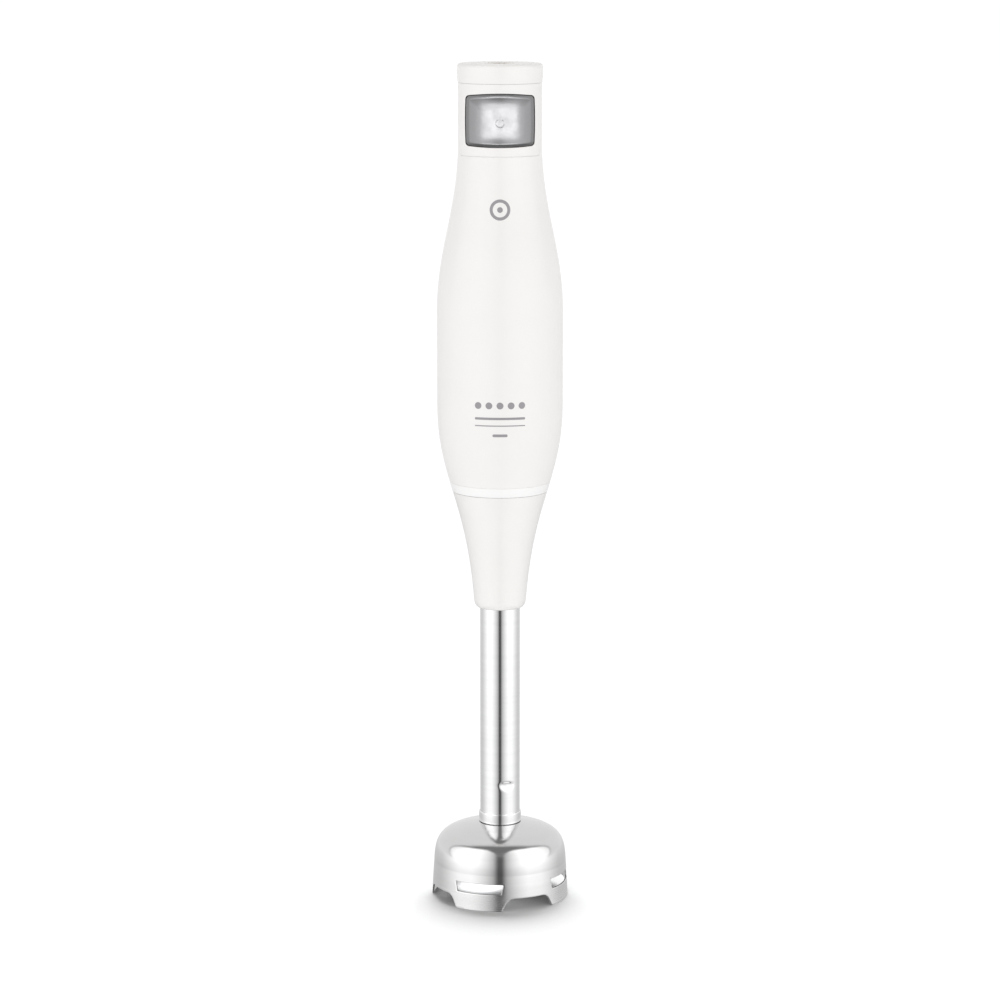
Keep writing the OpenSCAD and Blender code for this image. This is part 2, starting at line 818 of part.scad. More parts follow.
module foot_spigot() {
    low_z = waist_z + 17;
    wall = shell_wall + 0.1;
    groove = [joint_z + 6.2, joint_z + 8.6];   // for the O-ring
    profile = concat(
        [[tube_r + fit, low_z]],
        outline(low_z, joint_z - 0.1, wall),
        [[spigot_r, joint_z - 0.1], [spigot_r, groove[0]], [14.75, groove[0]], [14.75, groove[1]]],
        [[spigot_r, groove[1]], [spigot_r, clip_z - 0.9], [15.8, clip_z - 0.9], [15.8, clip_z + 0.9]],
        [[spigot_r, clip_z + 0.9], [spigot_r - 0.6, spigot_top], [well_r, spigot_top], [well_r, well_z]],
        [[6 + fit, well_z], [6 + fit, well_z - bush_len - 0.2], [4, well_z - bush_len - 0.2]],
        [[4, tube_top + fit], [tube_r + fit, tube_top + fit]]);
    color(grey_plastic)
        union() {
            rotate_extrude() polygon(profile);
            for (a = [0, 180])
                rotate([0, 0, a])
                    block([well_r + 1, -key_w / 2, joint_z + 9.6], [key_r, key_w / 2, joint_z + 12.6]);
        }
}

module coupling_o_ring() {
    color(rubber)
        translate([0, 0, joint_z + 7.4]) rotate_extrude() translate([15.7, 0]) circle(r = 0.9, $fn = 32);
}

module shaft_tube() {
    dimple_angle = -69.5;
    dimple_z = 56;
    ball_r = 5;
    stretch = 1.35;                 // the dimple is wider than it is tall
    color(steel)
        difference() {
            ring(flange_z + fit, tube_top, tube_r, tube_bore_r);
            rotate([0, 0, dimple_angle])
                translate([tube_r + ball_r - 0.6, 0, dimple_z]) scale([1, stretch, 1]) sphere(r = ball_r);
        }
}

module tube_collar() {
    out_r = tube_r + 0.6;
    color(steel)
        rotate_extrude()
            polygon(concat(
                [[tube_r + fit, collar_z]],
                arc([out_r - 0.4, collar_z + 0.4], 0.4, -90, 0, 4),
                arc([out_r - 0.4, collar_top - 0.4], 0.4, 0, 90, 4),
                [[tube_r + fit, collar_top]]));
}

// Outline of the bell, from its rim up to its middle, moved inwards by t
function bell_outline(t) =
    concat(
        [[bell_r - t, 0], [bell_r - 0.6 - t, 12]],
        bell_curve([[bell_r - 1, 17.2], [bell_r - 1.4, 31.2], [tube_r + 17.5, 32.9], [tube_r + 0.5, bell_h]], t, 14));

// Points of a curve moved by t towards its inner side
function bell_curve(c, t, n) =
    [for (i = [0 : n])
        let (p = bezier(c, i / n), d = bezier(c, i / n + 0.001) - bezier(c, i / n - 0.001), u = d / norm(d))
        p + t * [-u.y, u.x] * (u.x < 0 || u.y > 0 ? 1 : -1)];

// Flat outline of a gap or slot: widths at the bottom and the top, with round upper corners
function gap_points(w0, w1, z0, z1, round) =
    concat(
        [[-w0 / 2, z0], [w0 / 2, z0]],
        arc([w1 / 2 - round, z1 - round], round, 10, 90, 4),
        arc([-w1 / 2 + round, z1 - round], round, 90, 170, 4));

// Width at radius bell_r of a stretch that spans deg degrees
function chord(deg) = 2 * bell_r * sin(deg / 2);

module bell() {
    step = 360 / tooth_count;
    gap_deg = step - tooth_tip_deg;
    color(steel)
        difference() {
            rotate_extrude()
                polygon(concat(
                    bell_outline(0), [[tube_r + fit, bell_h]],
                    [[tube_r + fit, bell_h - bell_wall]], reversed(bell_outline(bell_wall))));
            for (i = [0 : tooth_count - 1]) {
                rotate([0, 0, tooth_angle + step * (i + 0.5) + 90])
                    sheet_y(gap_points(chord(gap_deg), chord(gap_deg - 11.9), -1, gap_h, 2.5), -bell_r - 2, -bell_r + 6);
                rotate([0, 0, tooth_angle + step * i + 90])
                    sheet_y(gap_points(chord(slot_deg - 4), chord(slot_deg), slot_z, slot_z + slot_h, 1), -bell_r - 2, -bell_r + 6);
            }
        }
}

module bearing_carrier() {
    in_tube_r = tube_bore_r - fit;
    seat_z = hub_low_z + 6.5;
    profile = [[7 + fit, hub_low_z], [10, hub_low_z], [10.5, hub_low_z + 0.8], [10.8, hub_low_z + 6],
        [13, flange_z - 2.6], [13, flange_z], [in_tube_r, flange_z], [in_tube_r, flange_z + 27],
        [5.5 + fit, flange_z + 27], [5.5 + fit, flange_z + 6], [3.8, flange_z + 6], [3.8, seat_z],
        [7 + fit, seat_z]];
    color(grey_plastic) rotate_extrude() polygon(profile);
}

module upper_bush() {
    color(brass) ring(well_z - bush_len - 0.1, well_z - 0.1, 6, shaft_r + running);
}

module lower_bush() {
    color(brass) ring(flange_z + 6.1, flange_z + 6.1 + bush_len, 5.5, shaft_r + running);
}

// Lip seal: a body with a lip that leans against the shaft
module shaft_seal() {
    z = hub_low_z + 0.6;
    color(rubber)
        rotate_extrude()
            polygon([[shaft_r + running, z + 1], [shaft_r + 1, z + 0.4], [shaft_r + 1.6, z + 2.4], [5.4, z + 2.4],
                [5.4, z], [7, z], [7, z + 5.8], [4.6, z + 5.8], [4.6, z + 4], [shaft_r + 0.8, z + 3.4],
                [shaft_r + running, z + 1.8]]);
}

module seal_retainer() {
    color(steel) ring(hub_low_z, hub_low_z + 0.5, 7, 5);
}

// ---- Drive --------------------------------------------------------------------------------------

circlip_z = well_z + 1;

module drive_shaft() {
    color(steel)
        difference() {
            union() {
                ring(blade_z + 0.6, joint_z + 4.8, shaft_r);
                ring(blade_z - 3.2, blade_z + 1, shaft_r - 0.6);
            }
            ring(circlip_z, circlip_z + 0.9, shaft_r + 1, shaft_r - 0.5);
        }
}

module driven_dog() {
    disc_top = dog_z - 0.3;
    disc_z = disc_top - 3.6;
    color(black_plastic)
        difference() {
            union() {
                jaws(disc_top - eps, disc_top + jaw_h, 0);
                ring(disc_z, disc_top, dog_r);
                ring(disc_z - 7, disc_z + 1, 5.5);
            }
            ring(disc_z - 8, joint_z + 4.9, shaft_hole_r);
        }
}

// Two wings on a hub: each is a bent strip that rises towards its tip
module blade() {
    hub_r = 5;
    wing_z = blade_z + 1.2;
    wing_t = 1.2;
    tip_r = blade_d / 2;
    color(steel)
        difference() {
            union() {
                ring(blade_z, blade_z + blade_hub_h, hub_r);
                for (a = [0, 180])
                    rotate([0, 0, a])
                        intersection() {
                            union() {
                                translate([0, 0, wing_z]) linear_extrude(wing_t)
                                    polygon([[0, -5], [9, -5], [15, -4.4], [15, 3.4], [9, 4.2], [0, 5]]);
                                translate([14.6, 0, wing_z]) rotate([0, -18, 0]) linear_extrude(wing_t)
                                    polygon([[0, -4.4], [12, -0.6], [12, 2.6], [0, 3.4]]);
                            }
                            ring(0, 30, tip_r);
                        }
            }
            ring(blade_z - 1, blade_z + blade_hub_h + 1, shaft_hole_r);
        }
}

module blade_nut() {
    low = blade_z - 4;
    color(steel)
        difference() {
            intersection() {
                translate([0, 0, low]) cylinder(h = 3.95, r = 4.6, $fn = 6);
                translate([0, 0, low + 5]) sphere(r = 6.4);
            }
            ring(low + 0.75, low + 5, shaft_r - 0.6 + 0.02);
        }
}

module thrust_washers() {
    color(steel) {
        ring(blade_z + blade_hub_h + 0.05, blade_z + blade_hub_h + 0.85, 5.2, shaft_hole_r);
        ring(well_z + 0.2, well_z + 0.9, 6.5, shaft_hole_r);
    }
}

module circlip() {
    color(dark_steel) sector(circlip_z + 0.05, circlip_z + 0.85, 5, shaft_r - 0.48, 25, 335);
}

// ---- Assembly -----------------------------------------------------------------------------------

front_shell();
rear_shell();
top_cap();
cord_gland();
switch_panel();
power_button();
switch_plunger();
button_spring();
coupling_ring();
socket_housing();
retaining_clip();
circuit_board();
micro_switch();
terminal_block();
filter_capacitor();
noise_chokes();
bleed_resistor();
motor_leads();
stator_stack();
field_coils();
lower_motor_bracket();
upper_motor_bracket();
lower_bearing();
upper_bearing();
lower_motor_mount();
upper_motor_mount();
brush_holders();
carbon_brushes();
brush_springs();
motor_screws();
housing_screws();
armature_shaft();
armature_core();
armature_windings();
commutator();
cooling_fan();
motor_dog();
foot_cone();
foot_spigot();
coupling_o_ring();
shaft_tube();
tube_collar();
bell();
bearing_carrier();
upper_bush();
lower_bush();
shaft_seal();
seal_retainer();
drive_shaft();
driven_dog();
blade();
blade_nut();
thrust_washers();
circlip();
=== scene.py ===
import math

import bmesh
import bpy
import numpy as np
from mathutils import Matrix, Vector
from mathutils.geometry import delaunay_2d_cdt


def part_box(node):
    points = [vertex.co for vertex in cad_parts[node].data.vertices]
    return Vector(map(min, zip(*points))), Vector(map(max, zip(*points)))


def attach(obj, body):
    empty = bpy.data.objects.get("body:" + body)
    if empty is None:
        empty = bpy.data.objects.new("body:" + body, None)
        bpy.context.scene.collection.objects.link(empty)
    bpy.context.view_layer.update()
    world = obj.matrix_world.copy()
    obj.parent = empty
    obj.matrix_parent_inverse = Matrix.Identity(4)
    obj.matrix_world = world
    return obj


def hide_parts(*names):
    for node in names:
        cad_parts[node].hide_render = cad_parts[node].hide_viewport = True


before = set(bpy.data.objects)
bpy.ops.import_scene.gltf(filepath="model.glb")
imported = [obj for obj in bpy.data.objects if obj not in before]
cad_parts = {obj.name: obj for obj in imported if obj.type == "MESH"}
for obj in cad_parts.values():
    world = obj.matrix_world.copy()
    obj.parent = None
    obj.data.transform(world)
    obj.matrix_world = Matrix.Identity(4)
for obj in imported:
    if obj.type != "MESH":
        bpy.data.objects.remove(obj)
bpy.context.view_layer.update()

# ---- Sizes, in metres, from the frame ----

MM = 0.001
TOP_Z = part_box("top_cap")[1].z
CAP_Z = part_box("top_cap")[0].z - 0.1 * MM
RING_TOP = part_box("front_shell")[0].z + 2 * MM      # the shells' tongues reach 2 mm into the ring
JOINT_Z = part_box("foot_cone")[1].z + 0.1 * MM       # parting line between foot and handle
GRIP_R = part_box("front_shell")[1].x
NECK_R = -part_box("switch_panel")[0].y
TUBE_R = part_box("shaft_tube")[1].x
BELL_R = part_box("bell")[1].x
BELL_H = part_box("bell")[1].z
SHELL_WALL = 2.2 * MM
BELL_WALL = 0.9 * MM
CAD_FIT = 0.05 * MM

# The body's outline: one curve from the foot's narrow end to the grip, one from the grip to the neck
WAIST_R = 12.2 * MM
WAIST_Z = JOINT_Z - 55.2 * MM
GRIP_LOW = JOINT_Z + 41.8 * MM
GRIP_HIGH = GRIP_LOW + 44 * MM
NECK_Z = GRIP_HIGH + 80 * MM
LOW_CURVE = [
    (WAIST_R, WAIST_Z),
    (WAIST_R + 3.6 * MM, WAIST_Z + 52 * MM),
    (GRIP_R, GRIP_LOW - 36.5 * MM),
    (GRIP_R, GRIP_LOW),
]
HIGH_CURVE = [
    (GRIP_R, GRIP_HIGH),
    (GRIP_R, GRIP_HIGH + 30 * MM),
    (NECK_R, NECK_Z - 32 * MM),
    (NECK_R, NECK_Z),
]

# Button and its panel
BUTTON_LOW, BUTTON_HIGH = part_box("power_button")
BUTTON_Z = CAP_Z - 17 * MM
BUTTON_W = BUTTON_HIGH.x - BUTTON_LOW.x
BUTTON_H = 24.4 * MM
BUTTON_ARCH = 1.2 * MM
BUTTON_SAG = 0.6 * MM
BUTTON_BOW = 0.3 * MM
BUTTON_CORNER = 1.5 * MM
BUTTON_R = -BUTTON_LOW.y
WINDOW_ANGLE = math.asin(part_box("switch_panel")[1].x / NECK_R)
WINDOW_Z = CAP_Z - 33.4 * MM
GAP = 0.3 * MM
CORNER_STEPS, SIDE_STEPS = 8, 16
SEAM = 0.03 * MM            # gap between parts that are clipped tightly together

# Bell: four teeth with a slot above each, gaps between them
TOOTH_ANGLE = math.radians(70.8)
TOOTH_COUNT = 4
TOOTH_TIP = math.radians(41.5)
TOOTH_ROOT = math.radians(53.4)
GAP_H = 6.2 * MM
SLOT_LOW, SLOT_HIGH = 8.2 * MM, 13.0 * MM
SLOT_LOW_SPAN, SLOT_HIGH_SPAN = math.radians(40), math.radians(44)
SKIRT_TOP = 17.2 * MM

# How closely the meshes follow their curves
FULL_TURN = 2 * math.pi
SHARP_DEG = 35
ROUND_SEGMENTS = 192        # of the turned parts of the body


# ---- Curves ----

def bezier(c, t):
    """Point of a cubic curve at t."""
    w = ((1 - t) ** 3, 3 * (1 - t) ** 2 * t, 3 * (1 - t) * t * t, t**3)
    return tuple(sum(wi * p[k] for wi, p in zip(w, c)) for k in range(2))


def curve_r(c, z):
    """Radius at height z of a curve that rises all the way, found by halving."""
    low, high = 0.0, 1.0
    for _ in range(30):
        mid = (low + high) / 2
        low, high = (mid, high) if bezier(c, mid)[1] < z else (low, mid)
    return bezier(c, (low + high) / 2)[0]


def body_r(z):
    """Radius of the handle or of the foot's cone at height z."""
    if z <= WAIST_Z:
        return WAIST_R
    if z < GRIP_LOW:
        return curve_r(LOW_CURVE, z)
    if z <= GRIP_HIGH:
        return GRIP_R
    return curve_r(HIGH_CURVE, z) if z < NECK_Z else NECK_R


def body_outline(z0, z1, inset=0.0, step=1.5 * MM):
    """Points (r, z) of the body's outline from z0 up to z1, moved inwards by inset."""
    n = max(1, math.ceil((z1 - z0) / step))
    return [(body_r(z0 + (z1 - z0) * i / n) - inset, z0 + (z1 - z0) * i / n) for i in range(n + 1)]


def rounded(corners, closed=True, steps=5):
    """Outline through corners given as (x, y, radius). Each corner is cut by its radius and bent round."""
    n = len(corners)
    out = []
    for i, (x, y, radius) in enumerate(corners):
        here = Vector((x, y))
        if radius <= 0 or (not closed and i in (0, n - 1)):
            out.append((x, y))
            continue
        before, after = Vector(corners[i - 1][:2]), Vector(corners[(i + 1) % n][:2])
        a = here + (before - here).normalized() * min(radius, (before - here).length * 0.49)
        b = here + (after - here).normalized() * min(radius, (after - here).length * 0.49)
        for k in range(steps + 1):
            t = k / steps
            out.append(tuple((1 - t) ** 2 * a + 2 * t * (1 - t) * here + t * t * b))
    return out


def dense(loop, spacing):
    """The same closed loop with no side longer than spacing."""
    out = []
    for a, b in zip(loop, loop[1:] + loop[:1]):
        n = max(1, math.ceil(math.dist(a, b) / spacing))
        out += [(a[0] + (b[0] - a[0]) * i / n, a[1] + (b[1] - a[1]) * i / n) for i in range(n)]
    return out


def bulged_box(w, h, arch, sag, bow, r, gap):
    """Rounded rectangle around the origin. Each side bulges in its middle, and gap widens it all round."""
    x, y = w / 2 - bow + gap, (h - arch - sag) / 2 + gap
    plain = []
    for k, (sx, sy) in enumerate(((1, 1), (-1, 1), (-1, -1), (1, -1))):
        for i in range(CORNER_STEPS + 1):
            a = math.pi / 2 * (k + i / CORNER_STEPS)
            plain.append((sx * (x - r) + r * math.cos(a), sy * (y - r) + r * math.sin(a)))
        start = plain[-1]
        end = (-sx * (x - r), sy * y) if k % 2 == 0 else (sx * x, -sy * (y - r))
        for i in range(1, SIDE_STEPS):
            t = i / SIDE_STEPS
            plain.append((start[0] + (end[0] - start[0]) * t, start[1] + (end[1] - start[1]) * t))
    out = []
    for px, py in plain:
        lift = (arch if py > 0 else -sag) * abs(py / y) * (1 - (px / x) ** 2)
        out.append((px * (1 + bow / x * (1 - (py / y) ** 2)), py + lift))
    return out


def button_outline(gap=0.0, r=None):
    """The button's outline around its middle, widened by gap."""
    return bulged_box(BUTTON_W, BUTTON_H, BUTTON_ARCH, BUTTON_SAG, BUTTON_BOW, r or BUTTON_CORNER, gap)


# ---- Meshes ----

def join_close(bm):
    bmesh.ops.remove_doubles(bm, verts=bm.verts, dist=1e-6)


def shade_smooth(mesh, sharp_deg=SHARP_DEG):
    """Shades a mesh smooth except over edges sharper than sharp_deg."""
    mesh.polygons.foreach_set("use_smooth", [True] * len(mesh.polygons))
    mesh.set_sharp_from_angle(angle=math.radians(sharp_deg))


def to_object(name, bm, sharp_deg=SHARP_DEG):
    """Object from a bmesh, shaded smooth."""
    bmesh.ops.recalc_face_normals(bm, faces=bm.faces)
    mesh = bpy.data.meshes.new(name)
    bm.to_mesh(mesh)
    bm.free()
    shade_smooth(mesh, sharp_deg)
    o = bpy.data.objects.new(name, mesh)
    bpy.context.scene.collection.objects.link(o)
    return o


def add_rows(bm, rows, ring=True):
    """Adds faces between each row of vertices and the next. In a ring, the last vertex joins the first."""
    for one, two in zip(rows, rows[1:]):
        n = len(one)
        for i in range(n if ring else n - 1):
            j = (i + 1) % n
            bm.faces.new((one[i], one[j], two[j], two[i]))


def add_part(bm, part):
    """Moves everything in the bmesh part into bm."""
    mesh = bpy.data.meshes.new("part")
    part.to_mesh(mesh)
    part.free()
    bm.from_mesh(mesh)
    bpy.data.meshes.remove(mesh)


def add_lathe(bm, outline, start=0.0, sweep=FULL_TURN, segments=128):
    """Adds the closed outline (r, z) turned about Z. Angles count from +X."""
    full = sweep > FULL_TURN - 1e-6
    count = segments if full else segments + 1
    rings = []
    for k in range(count):
        a = start + sweep * k / segments
        rings.append([bm.verts.new((r * math.cos(a), r * math.sin(a), z)) for r, z in outline])
    n = len(outline)
    for k in range(segments):
        one, two = rings[k], rings[(k + 1) % count]
        for i in range(n):
            j = (i + 1) % n
            bm.faces.new((one[i], two[i], two[j], one[j]))
    if not full:
        bm.faces.new(rings[0])
        bm.faces.new(list(reversed(rings[-1])))
    join_close(bm)


def lathe(name, outline, segments=ROUND_SEGMENTS):
    bm = bmesh.new()
    add_lathe(bm, outline, segments=segments)
    return to_object(name, bm)


def add_bar_y(bm, x, z, y0, y1, r, hole=0.0):
    """Adds a round bar or tube along Y, its edges softened."""
    soft = min(0.25 * MM, r * 0.2)
    section = rounded([(hole, y0, 0), (r, y0, soft), (r, y1, soft), (hole, y1, 0)], steps=3)
    part = bmesh.new()
    add_lathe(part, section, segments=40)
    for v in part.verts:
        v.co = Vector((x + v.co.x, v.co.z, z + v.co.y))
    add_part(bm, part)


def add_block(bm, low, high):
    """Adds a box between two corners, its edges softened."""
    part = bmesh.new()
    bmesh.ops.create_cube(part, size=1)
    size = Vector(high) - Vector(low)
    for v in part.verts:
        v.co = Vector(low) + Vector(((v.co[k] + 0.5) * size[k] for k in range(3)))
    bmesh.ops.bevel(part, geom=part.edges[:], offset=0.3 * MM, segments=2, profile=0.5, affect="EDGES")
    add_part(bm, part)


def inside(points, loop):
    """For each point, whether it is inside the closed loop."""
    x, y = points[:, 0][:, None], points[:, 1][:, None]
    a = np.array(loop)
    b = np.roll(a, -1, axis=0)
    crosses = (a[:, 1] > y) != (b[:, 1] > y)
    rise = np.where(b[:, 1] == a[:, 1], 1.0, b[:, 1] - a[:, 1])
    at = a[:, 0] + (y - a[:, 1]) * (b[:, 0] - a[:, 0]) / rise
    return (crosses & (x < at)).sum(axis=1) % 2 == 1


def near(points, loop, distance):
    """For each point, whether it is within distance of the loop's corners."""
    gaps = np.linalg.norm(points[:, None, :] - np.array(loop)[None, :, :], axis=2)
    return gaps.min(axis=1) < distance


def add_sheet(bm, outer, holes, spacing, place, back):
    """Adds a plate: a flat outline with holes, filled with even points and bent by place(u, v).
    back(u, v) gives the other side of each point, and walls join the two round every edge."""
    loops = [dense(loop, spacing) for loop in [outer] + holes]
    edge_points = [p for loop in loops for p in loop]
    low, high = np.array(loops[0]).min(axis=0), np.array(loops[0]).max(axis=0)
    us = np.arange(low[0] + spacing / 2, high[0], spacing)
    vs = np.arange(low[1] + spacing / 2, high[1], spacing)
    fill = np.array([(u, v) for v in vs for u in us])
    keep = inside(fill, loops[0]) & ~near(fill, edge_points, spacing * 0.55)
    for hole in loops[1:]:
        keep &= ~inside(fill, hole)
    edges, start = [], 0
    for loop in loops:
        n = len(loop)
        edges += [(start + i, start + (i + 1) % n) for i in range(n)]
        start += n
    flat = [Vector(p) for p in edge_points] + [Vector(p) for p in fill[keep]]
    points, _, faces, *_ = delaunay_2d_cdt(flat, edges, [], 0, 1e-9)
    middle = np.array([sum((points[i] for i in f), Vector((0, 0))) / len(f) for f in faces])
    kept = inside(middle, loops[0])
    for hole in loops[1:]:
        kept &= ~inside(middle, hole)
    front = [bm.verts.new(place(*p)) for p in points]
    rear = [bm.verts.new(back(*p)) for p in points]
    used = {}
    for f, k in zip(faces, kept):
        if not k:
            continue
        bm.faces.new([front[i] for i in f])
        bm.faces.new([rear[i] for i in reversed(f)])
        for a, b in zip(f, f[1:] + f[:1]):
            used[(a, b)] = used.get((a, b), 0) + 1
    for a, b in used:
        if (b, a) not in used:
            bm.faces.new((front[b], front[a], rear[a], rear[b]))
    loose = [v for v in bm.verts if not v.link_faces]
    bmesh.ops.delete(bm, geom=loose, context="VERTS")
    join_close(bm)


def soften(o, width, segments=3, angle=50):
    """Rounds the edges of a piece that are sharper than angle, and applies it to the mesh."""
    bevel = o.modifiers.new("edges", "BEVEL")
    bevel.width = width
    bevel.segments = segments
    bevel.limit_method = "ANGLE"
    bevel.angle_limit = math.radians(angle)
    graph = bpy.context.evaluated_depsgraph_get()
    mesh = bpy.data.meshes.new_from_object(o.evaluated_get(graph))
    o.modifiers.clear()
    o.data = mesh
    shade_smooth(mesh)
    return o


def piece(o, material, body, slot, *nodes):
    """Gives a new piece its material and the body it rides on, and hides the CAD nodes it stands for."""
    o.data.materials.clear()
    o.data.materials.append(material)
    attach(o, body)
    if nodes:
        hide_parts(*nodes)
    return o


# ---- Materials ----

class Nodes:
    """A new material with a Principled shader, and short ways to add nodes to it."""

    def __init__(self, name):
        self.material = bpy.data.materials.new(name)
        self.material.use_nodes = True
        self.tree = self.material.node_tree
        self.shader = self.tree.nodes["Principled BSDF"]
        self.where = self.tree.nodes.new("ShaderNodeTexCoord").outputs["Object"]

    def add(self, kind, **values):
        node = self.tree.nodes.new(kind)
        for key, value in values.items():
            if isinstance(value, bpy.types.NodeSocket):
                self.tree.links.new(value, node.inputs[key])
            elif key in node.inputs:
                node.inputs[key].default_value = value
            else:
                setattr(node, key, value)
        return node

    def set(self, **values):
        """Sets the shader's own sockets. An underscore stands for a space in their names."""
        for key, value in values.items():
            self.shader.inputs[key.replace("_", " ")].default_value = value

    def feed(self, key, socket):
        self.tree.links.new(socket, self.shader.inputs[key])

    def stretched(self, x, y, z):
        """Object coordinates scaled along each axis."""
        node = self.add("ShaderNodeMapping", Vector=self.where)
        node.inputs["Scale"].default_value = (x, y, z)
        return node.outputs[0]

    def noise(self, scale, detail=3.0, where=None, roughness=0.5):
        node = self.add("ShaderNodeTexNoise", Vector=where or self.where, Scale=scale, Detail=detail)
        node.inputs["Roughness"].default_value = roughness
        return node.outputs["Fac"]

    def span(self, value, low, high, from_low=0.0, from_high=1.0, how="LINEAR"):
        """Goes from low to high as the value goes through the range that it comes in."""
        node = self.add("ShaderNodeMapRange", Value=value, interpolation_type=how)
        ends = {"From Min": from_low, "From Max": from_high, "To Min": low, "To Max": high}
        for key, number in ends.items():
            node.inputs[key].default_value = number
        return node.outputs[0]

    def colours(self, value, *stops):
        """Colour ramp: stops are (position, colour)."""
        node = self.add("ShaderNodeValToRGB", Fac=value)
        ramp = node.color_ramp.elements
        while len(ramp) < len(stops):
            ramp.new(0.5)
        for element, (position, colour) in zip(ramp, stops):
            element.position = position
            element.color = (*colour, 1)
        return node.outputs["Color"]

    def bump(self, height, strength, distance, normal=None):
        node = self.add("ShaderNodeBump", Height=height, Strength=strength, Distance=distance)
        if normal:
            self.tree.links.new(normal, node.inputs["Normal"])
        return node.outputs["Normal"]

    def tint(self, value, colour, *stops):
        """Base colour that changes along a value. Stops are (position, brightness)."""
        self.feed("Base Color", self.colours(value, *[(at, shade(colour, k)) for at, k in stops]))

    def rough(self, value, low, high, from_low=0.3, from_high=0.7):
        self.feed("Roughness", self.span(value, low, high, from_low, from_high))

    def relief(self, *how):
        self.feed("Normal", self.bump(*how))

    def edge_wear(self, radius):
        """Where the surface turns sharply: 0 on flats, up to 1 on edges."""
        bevel = self.add("ShaderNodeBevel", Radius=radius)
        bevel.samples = 4
        flat = self.add("ShaderNodeNewGeometry").outputs["Normal"]
        dot = self.add("ShaderNodeVectorMath", operation="DOT_PRODUCT")
        self.tree.links.new(bevel.outputs[0], dot.inputs[0])
        self.tree.links.new(flat, dot.inputs[1])
        return self.span(dot.outputs["Value"], 1.0, 0.0, 0.90, 0.999)


def shade(colour, k):
    return tuple(min(1.0, c * k) for c in colour)


def moulded_plastic(name, colour, roughness, grain=0.02, coat=0.0, tint=0.03):
    """Moulded plastic: faint colour drift, handling marks in the gloss and a fine mould texture."""
    m = Nodes(name)
    drift = m.noise(35, 4)
    m.tint(drift, colour, (0.3, 1 - tint), (0.7, 1 + tint / 2))
    marks = m.noise(160, 5)
    m.rough(marks, roughness * 0.85, roughness * 1.2, 0.35, 0.65)
    waves = m.bump(m.noise(60, 1), 0.06, 0.0006)
    m.relief(m.noise(2600, 2), grain, 0.0002, waves)
    m.set(IOR=1.49, Coat_Weight=coat, Coat_Roughness=0.08)
    return m.material


def satin_metallic(name, colour, roughness):
    """Silver paint over plastic: fine flake under a thin satin lacquer."""
    m = Nodes(name)
    flake = m.noise(5200, 2)
    m.tint(flake, colour, (0.35, 0.92), (0.65, 1.06))
    m.rough(m.noise(220, 4), roughness * 0.9, roughness * 1.12, 0.35, 0.65)
    m.relief(flake, 0.04, 0.0001)
    m.set(Metallic=0.9, Coat_Weight=0.25, Coat_Roughness=0.25)
    return m.material


def turned_steel(name, colour, roughness, lines, depth, smear, worked_up_to=None):
    """Steel polished round its axis: fine rings, light scuffs and a highlight drawn out along the axis.
    Below worked_up_to the rings are deep, as on sheet that was brushed after pressing."""
    m = Nodes(name)
    rings = m.noise(1.0, 4, m.stretched(60, 60, lines), 0.6)
    streaks = m.noise(1.0, 3, m.stretched(25, 25, lines / 6), 0.5)
    scuffs = m.noise(900, 5, roughness=0.7)
    m.tint(streaks, colour, (0.3, 0.97), (0.7, 1.02))
    worn = m.add("ShaderNodeMath", operation="ADD")
    m.tree.links.new(m.span(rings, -roughness * smear, roughness * smear, 0.3, 0.7), worn.inputs[0])
    m.tree.links.new(m.span(scuffs, roughness, roughness * 1.15, 0.55, 0.8), worn.inputs[1])
    rough, strength = worn.outputs[0], depth
    ring_depth, rougher = 0.04 * MM, 0.12   # how deep the rings can be, and the roughness that brushing adds
    if worked_up_to:
        height = m.add("ShaderNodeSeparateXYZ")
        m.tree.links.new(m.where, height.inputs[0])
        brushed = m.span(height.outputs["Z"], 1.0, 0.0, worked_up_to * 0.5, worked_up_to, "SMOOTHSTEP")
        more = m.add("ShaderNodeMath", operation="MULTIPLY_ADD")
        m.tree.links.new(brushed, more.inputs[0])
        more.inputs[1].default_value = rougher
        m.tree.links.new(rough, more.inputs[2])
        rough, strength = more.outputs[0], m.span(brushed, depth, depth * 5)
    m.feed("Roughness", rough)
    m.relief(rings, strength, ring_depth)
    m.set(Metallic=1.0, Anisotropic=0.5, Anisotropic_Rotation=0.25)
    tangent = m.add("ShaderNodeTangent", direction_type="RADIAL", axis="Z")
    m.feed("Tangent", tangent.outputs[0])
    return m.material


def machined_metal(name, colour, roughness, wear=0.35, blotch=0.12):
    """Ground, drawn or plated metal inside the machine: faint blotches, bright edges, oily marks."""
    m = Nodes(name)
    blotches = m.noise(240, 5, roughness=0.6)
    base = m.colours(blotches, (0.3, shade(colour, 1 - blotch)), (0.7, shade(colour, 1 + blotch / 2)))
    mix = m.add("ShaderNodeMix", data_type="RGBA")
    m.tree.links.new(m.span(m.edge_wear(0.0002), 0.0, wear), mix.inputs["Factor"])
    m.tree.links.new(base, mix.inputs["A"])
    mix.inputs["B"].default_value = (*shade(colour, 1.35), 1)
    m.feed("Base Color", mix.outputs["Result"])
    m.rough(m.noise(700, 4), roughness * 0.8, roughness * 1.25)
    m.relief(m.noise(3200, 3), 0.05, 0.0001)
    m.set(Metallic=1.0)
    return m.material


def moulded_rubber(name, colour):
    """Soft rubber: dull, slightly dusty, with a fine skin."""
    m = Nodes(name)
    dust = m.noise(300, 6, roughness=0.7)
    m.feed("Base Color", m.colours(dust, (0.35, colour), (0.8, tuple(c + 0.05 for c in colour))))
    m.rough(dust, 0.55, 0.8)
    m.relief(m.noise(3600, 2), 0.12, 0.0002)
    m.set(IOR=1.52, Sheen_Weight=0.1, Sheen_Roughness=0.4)
    return m.material


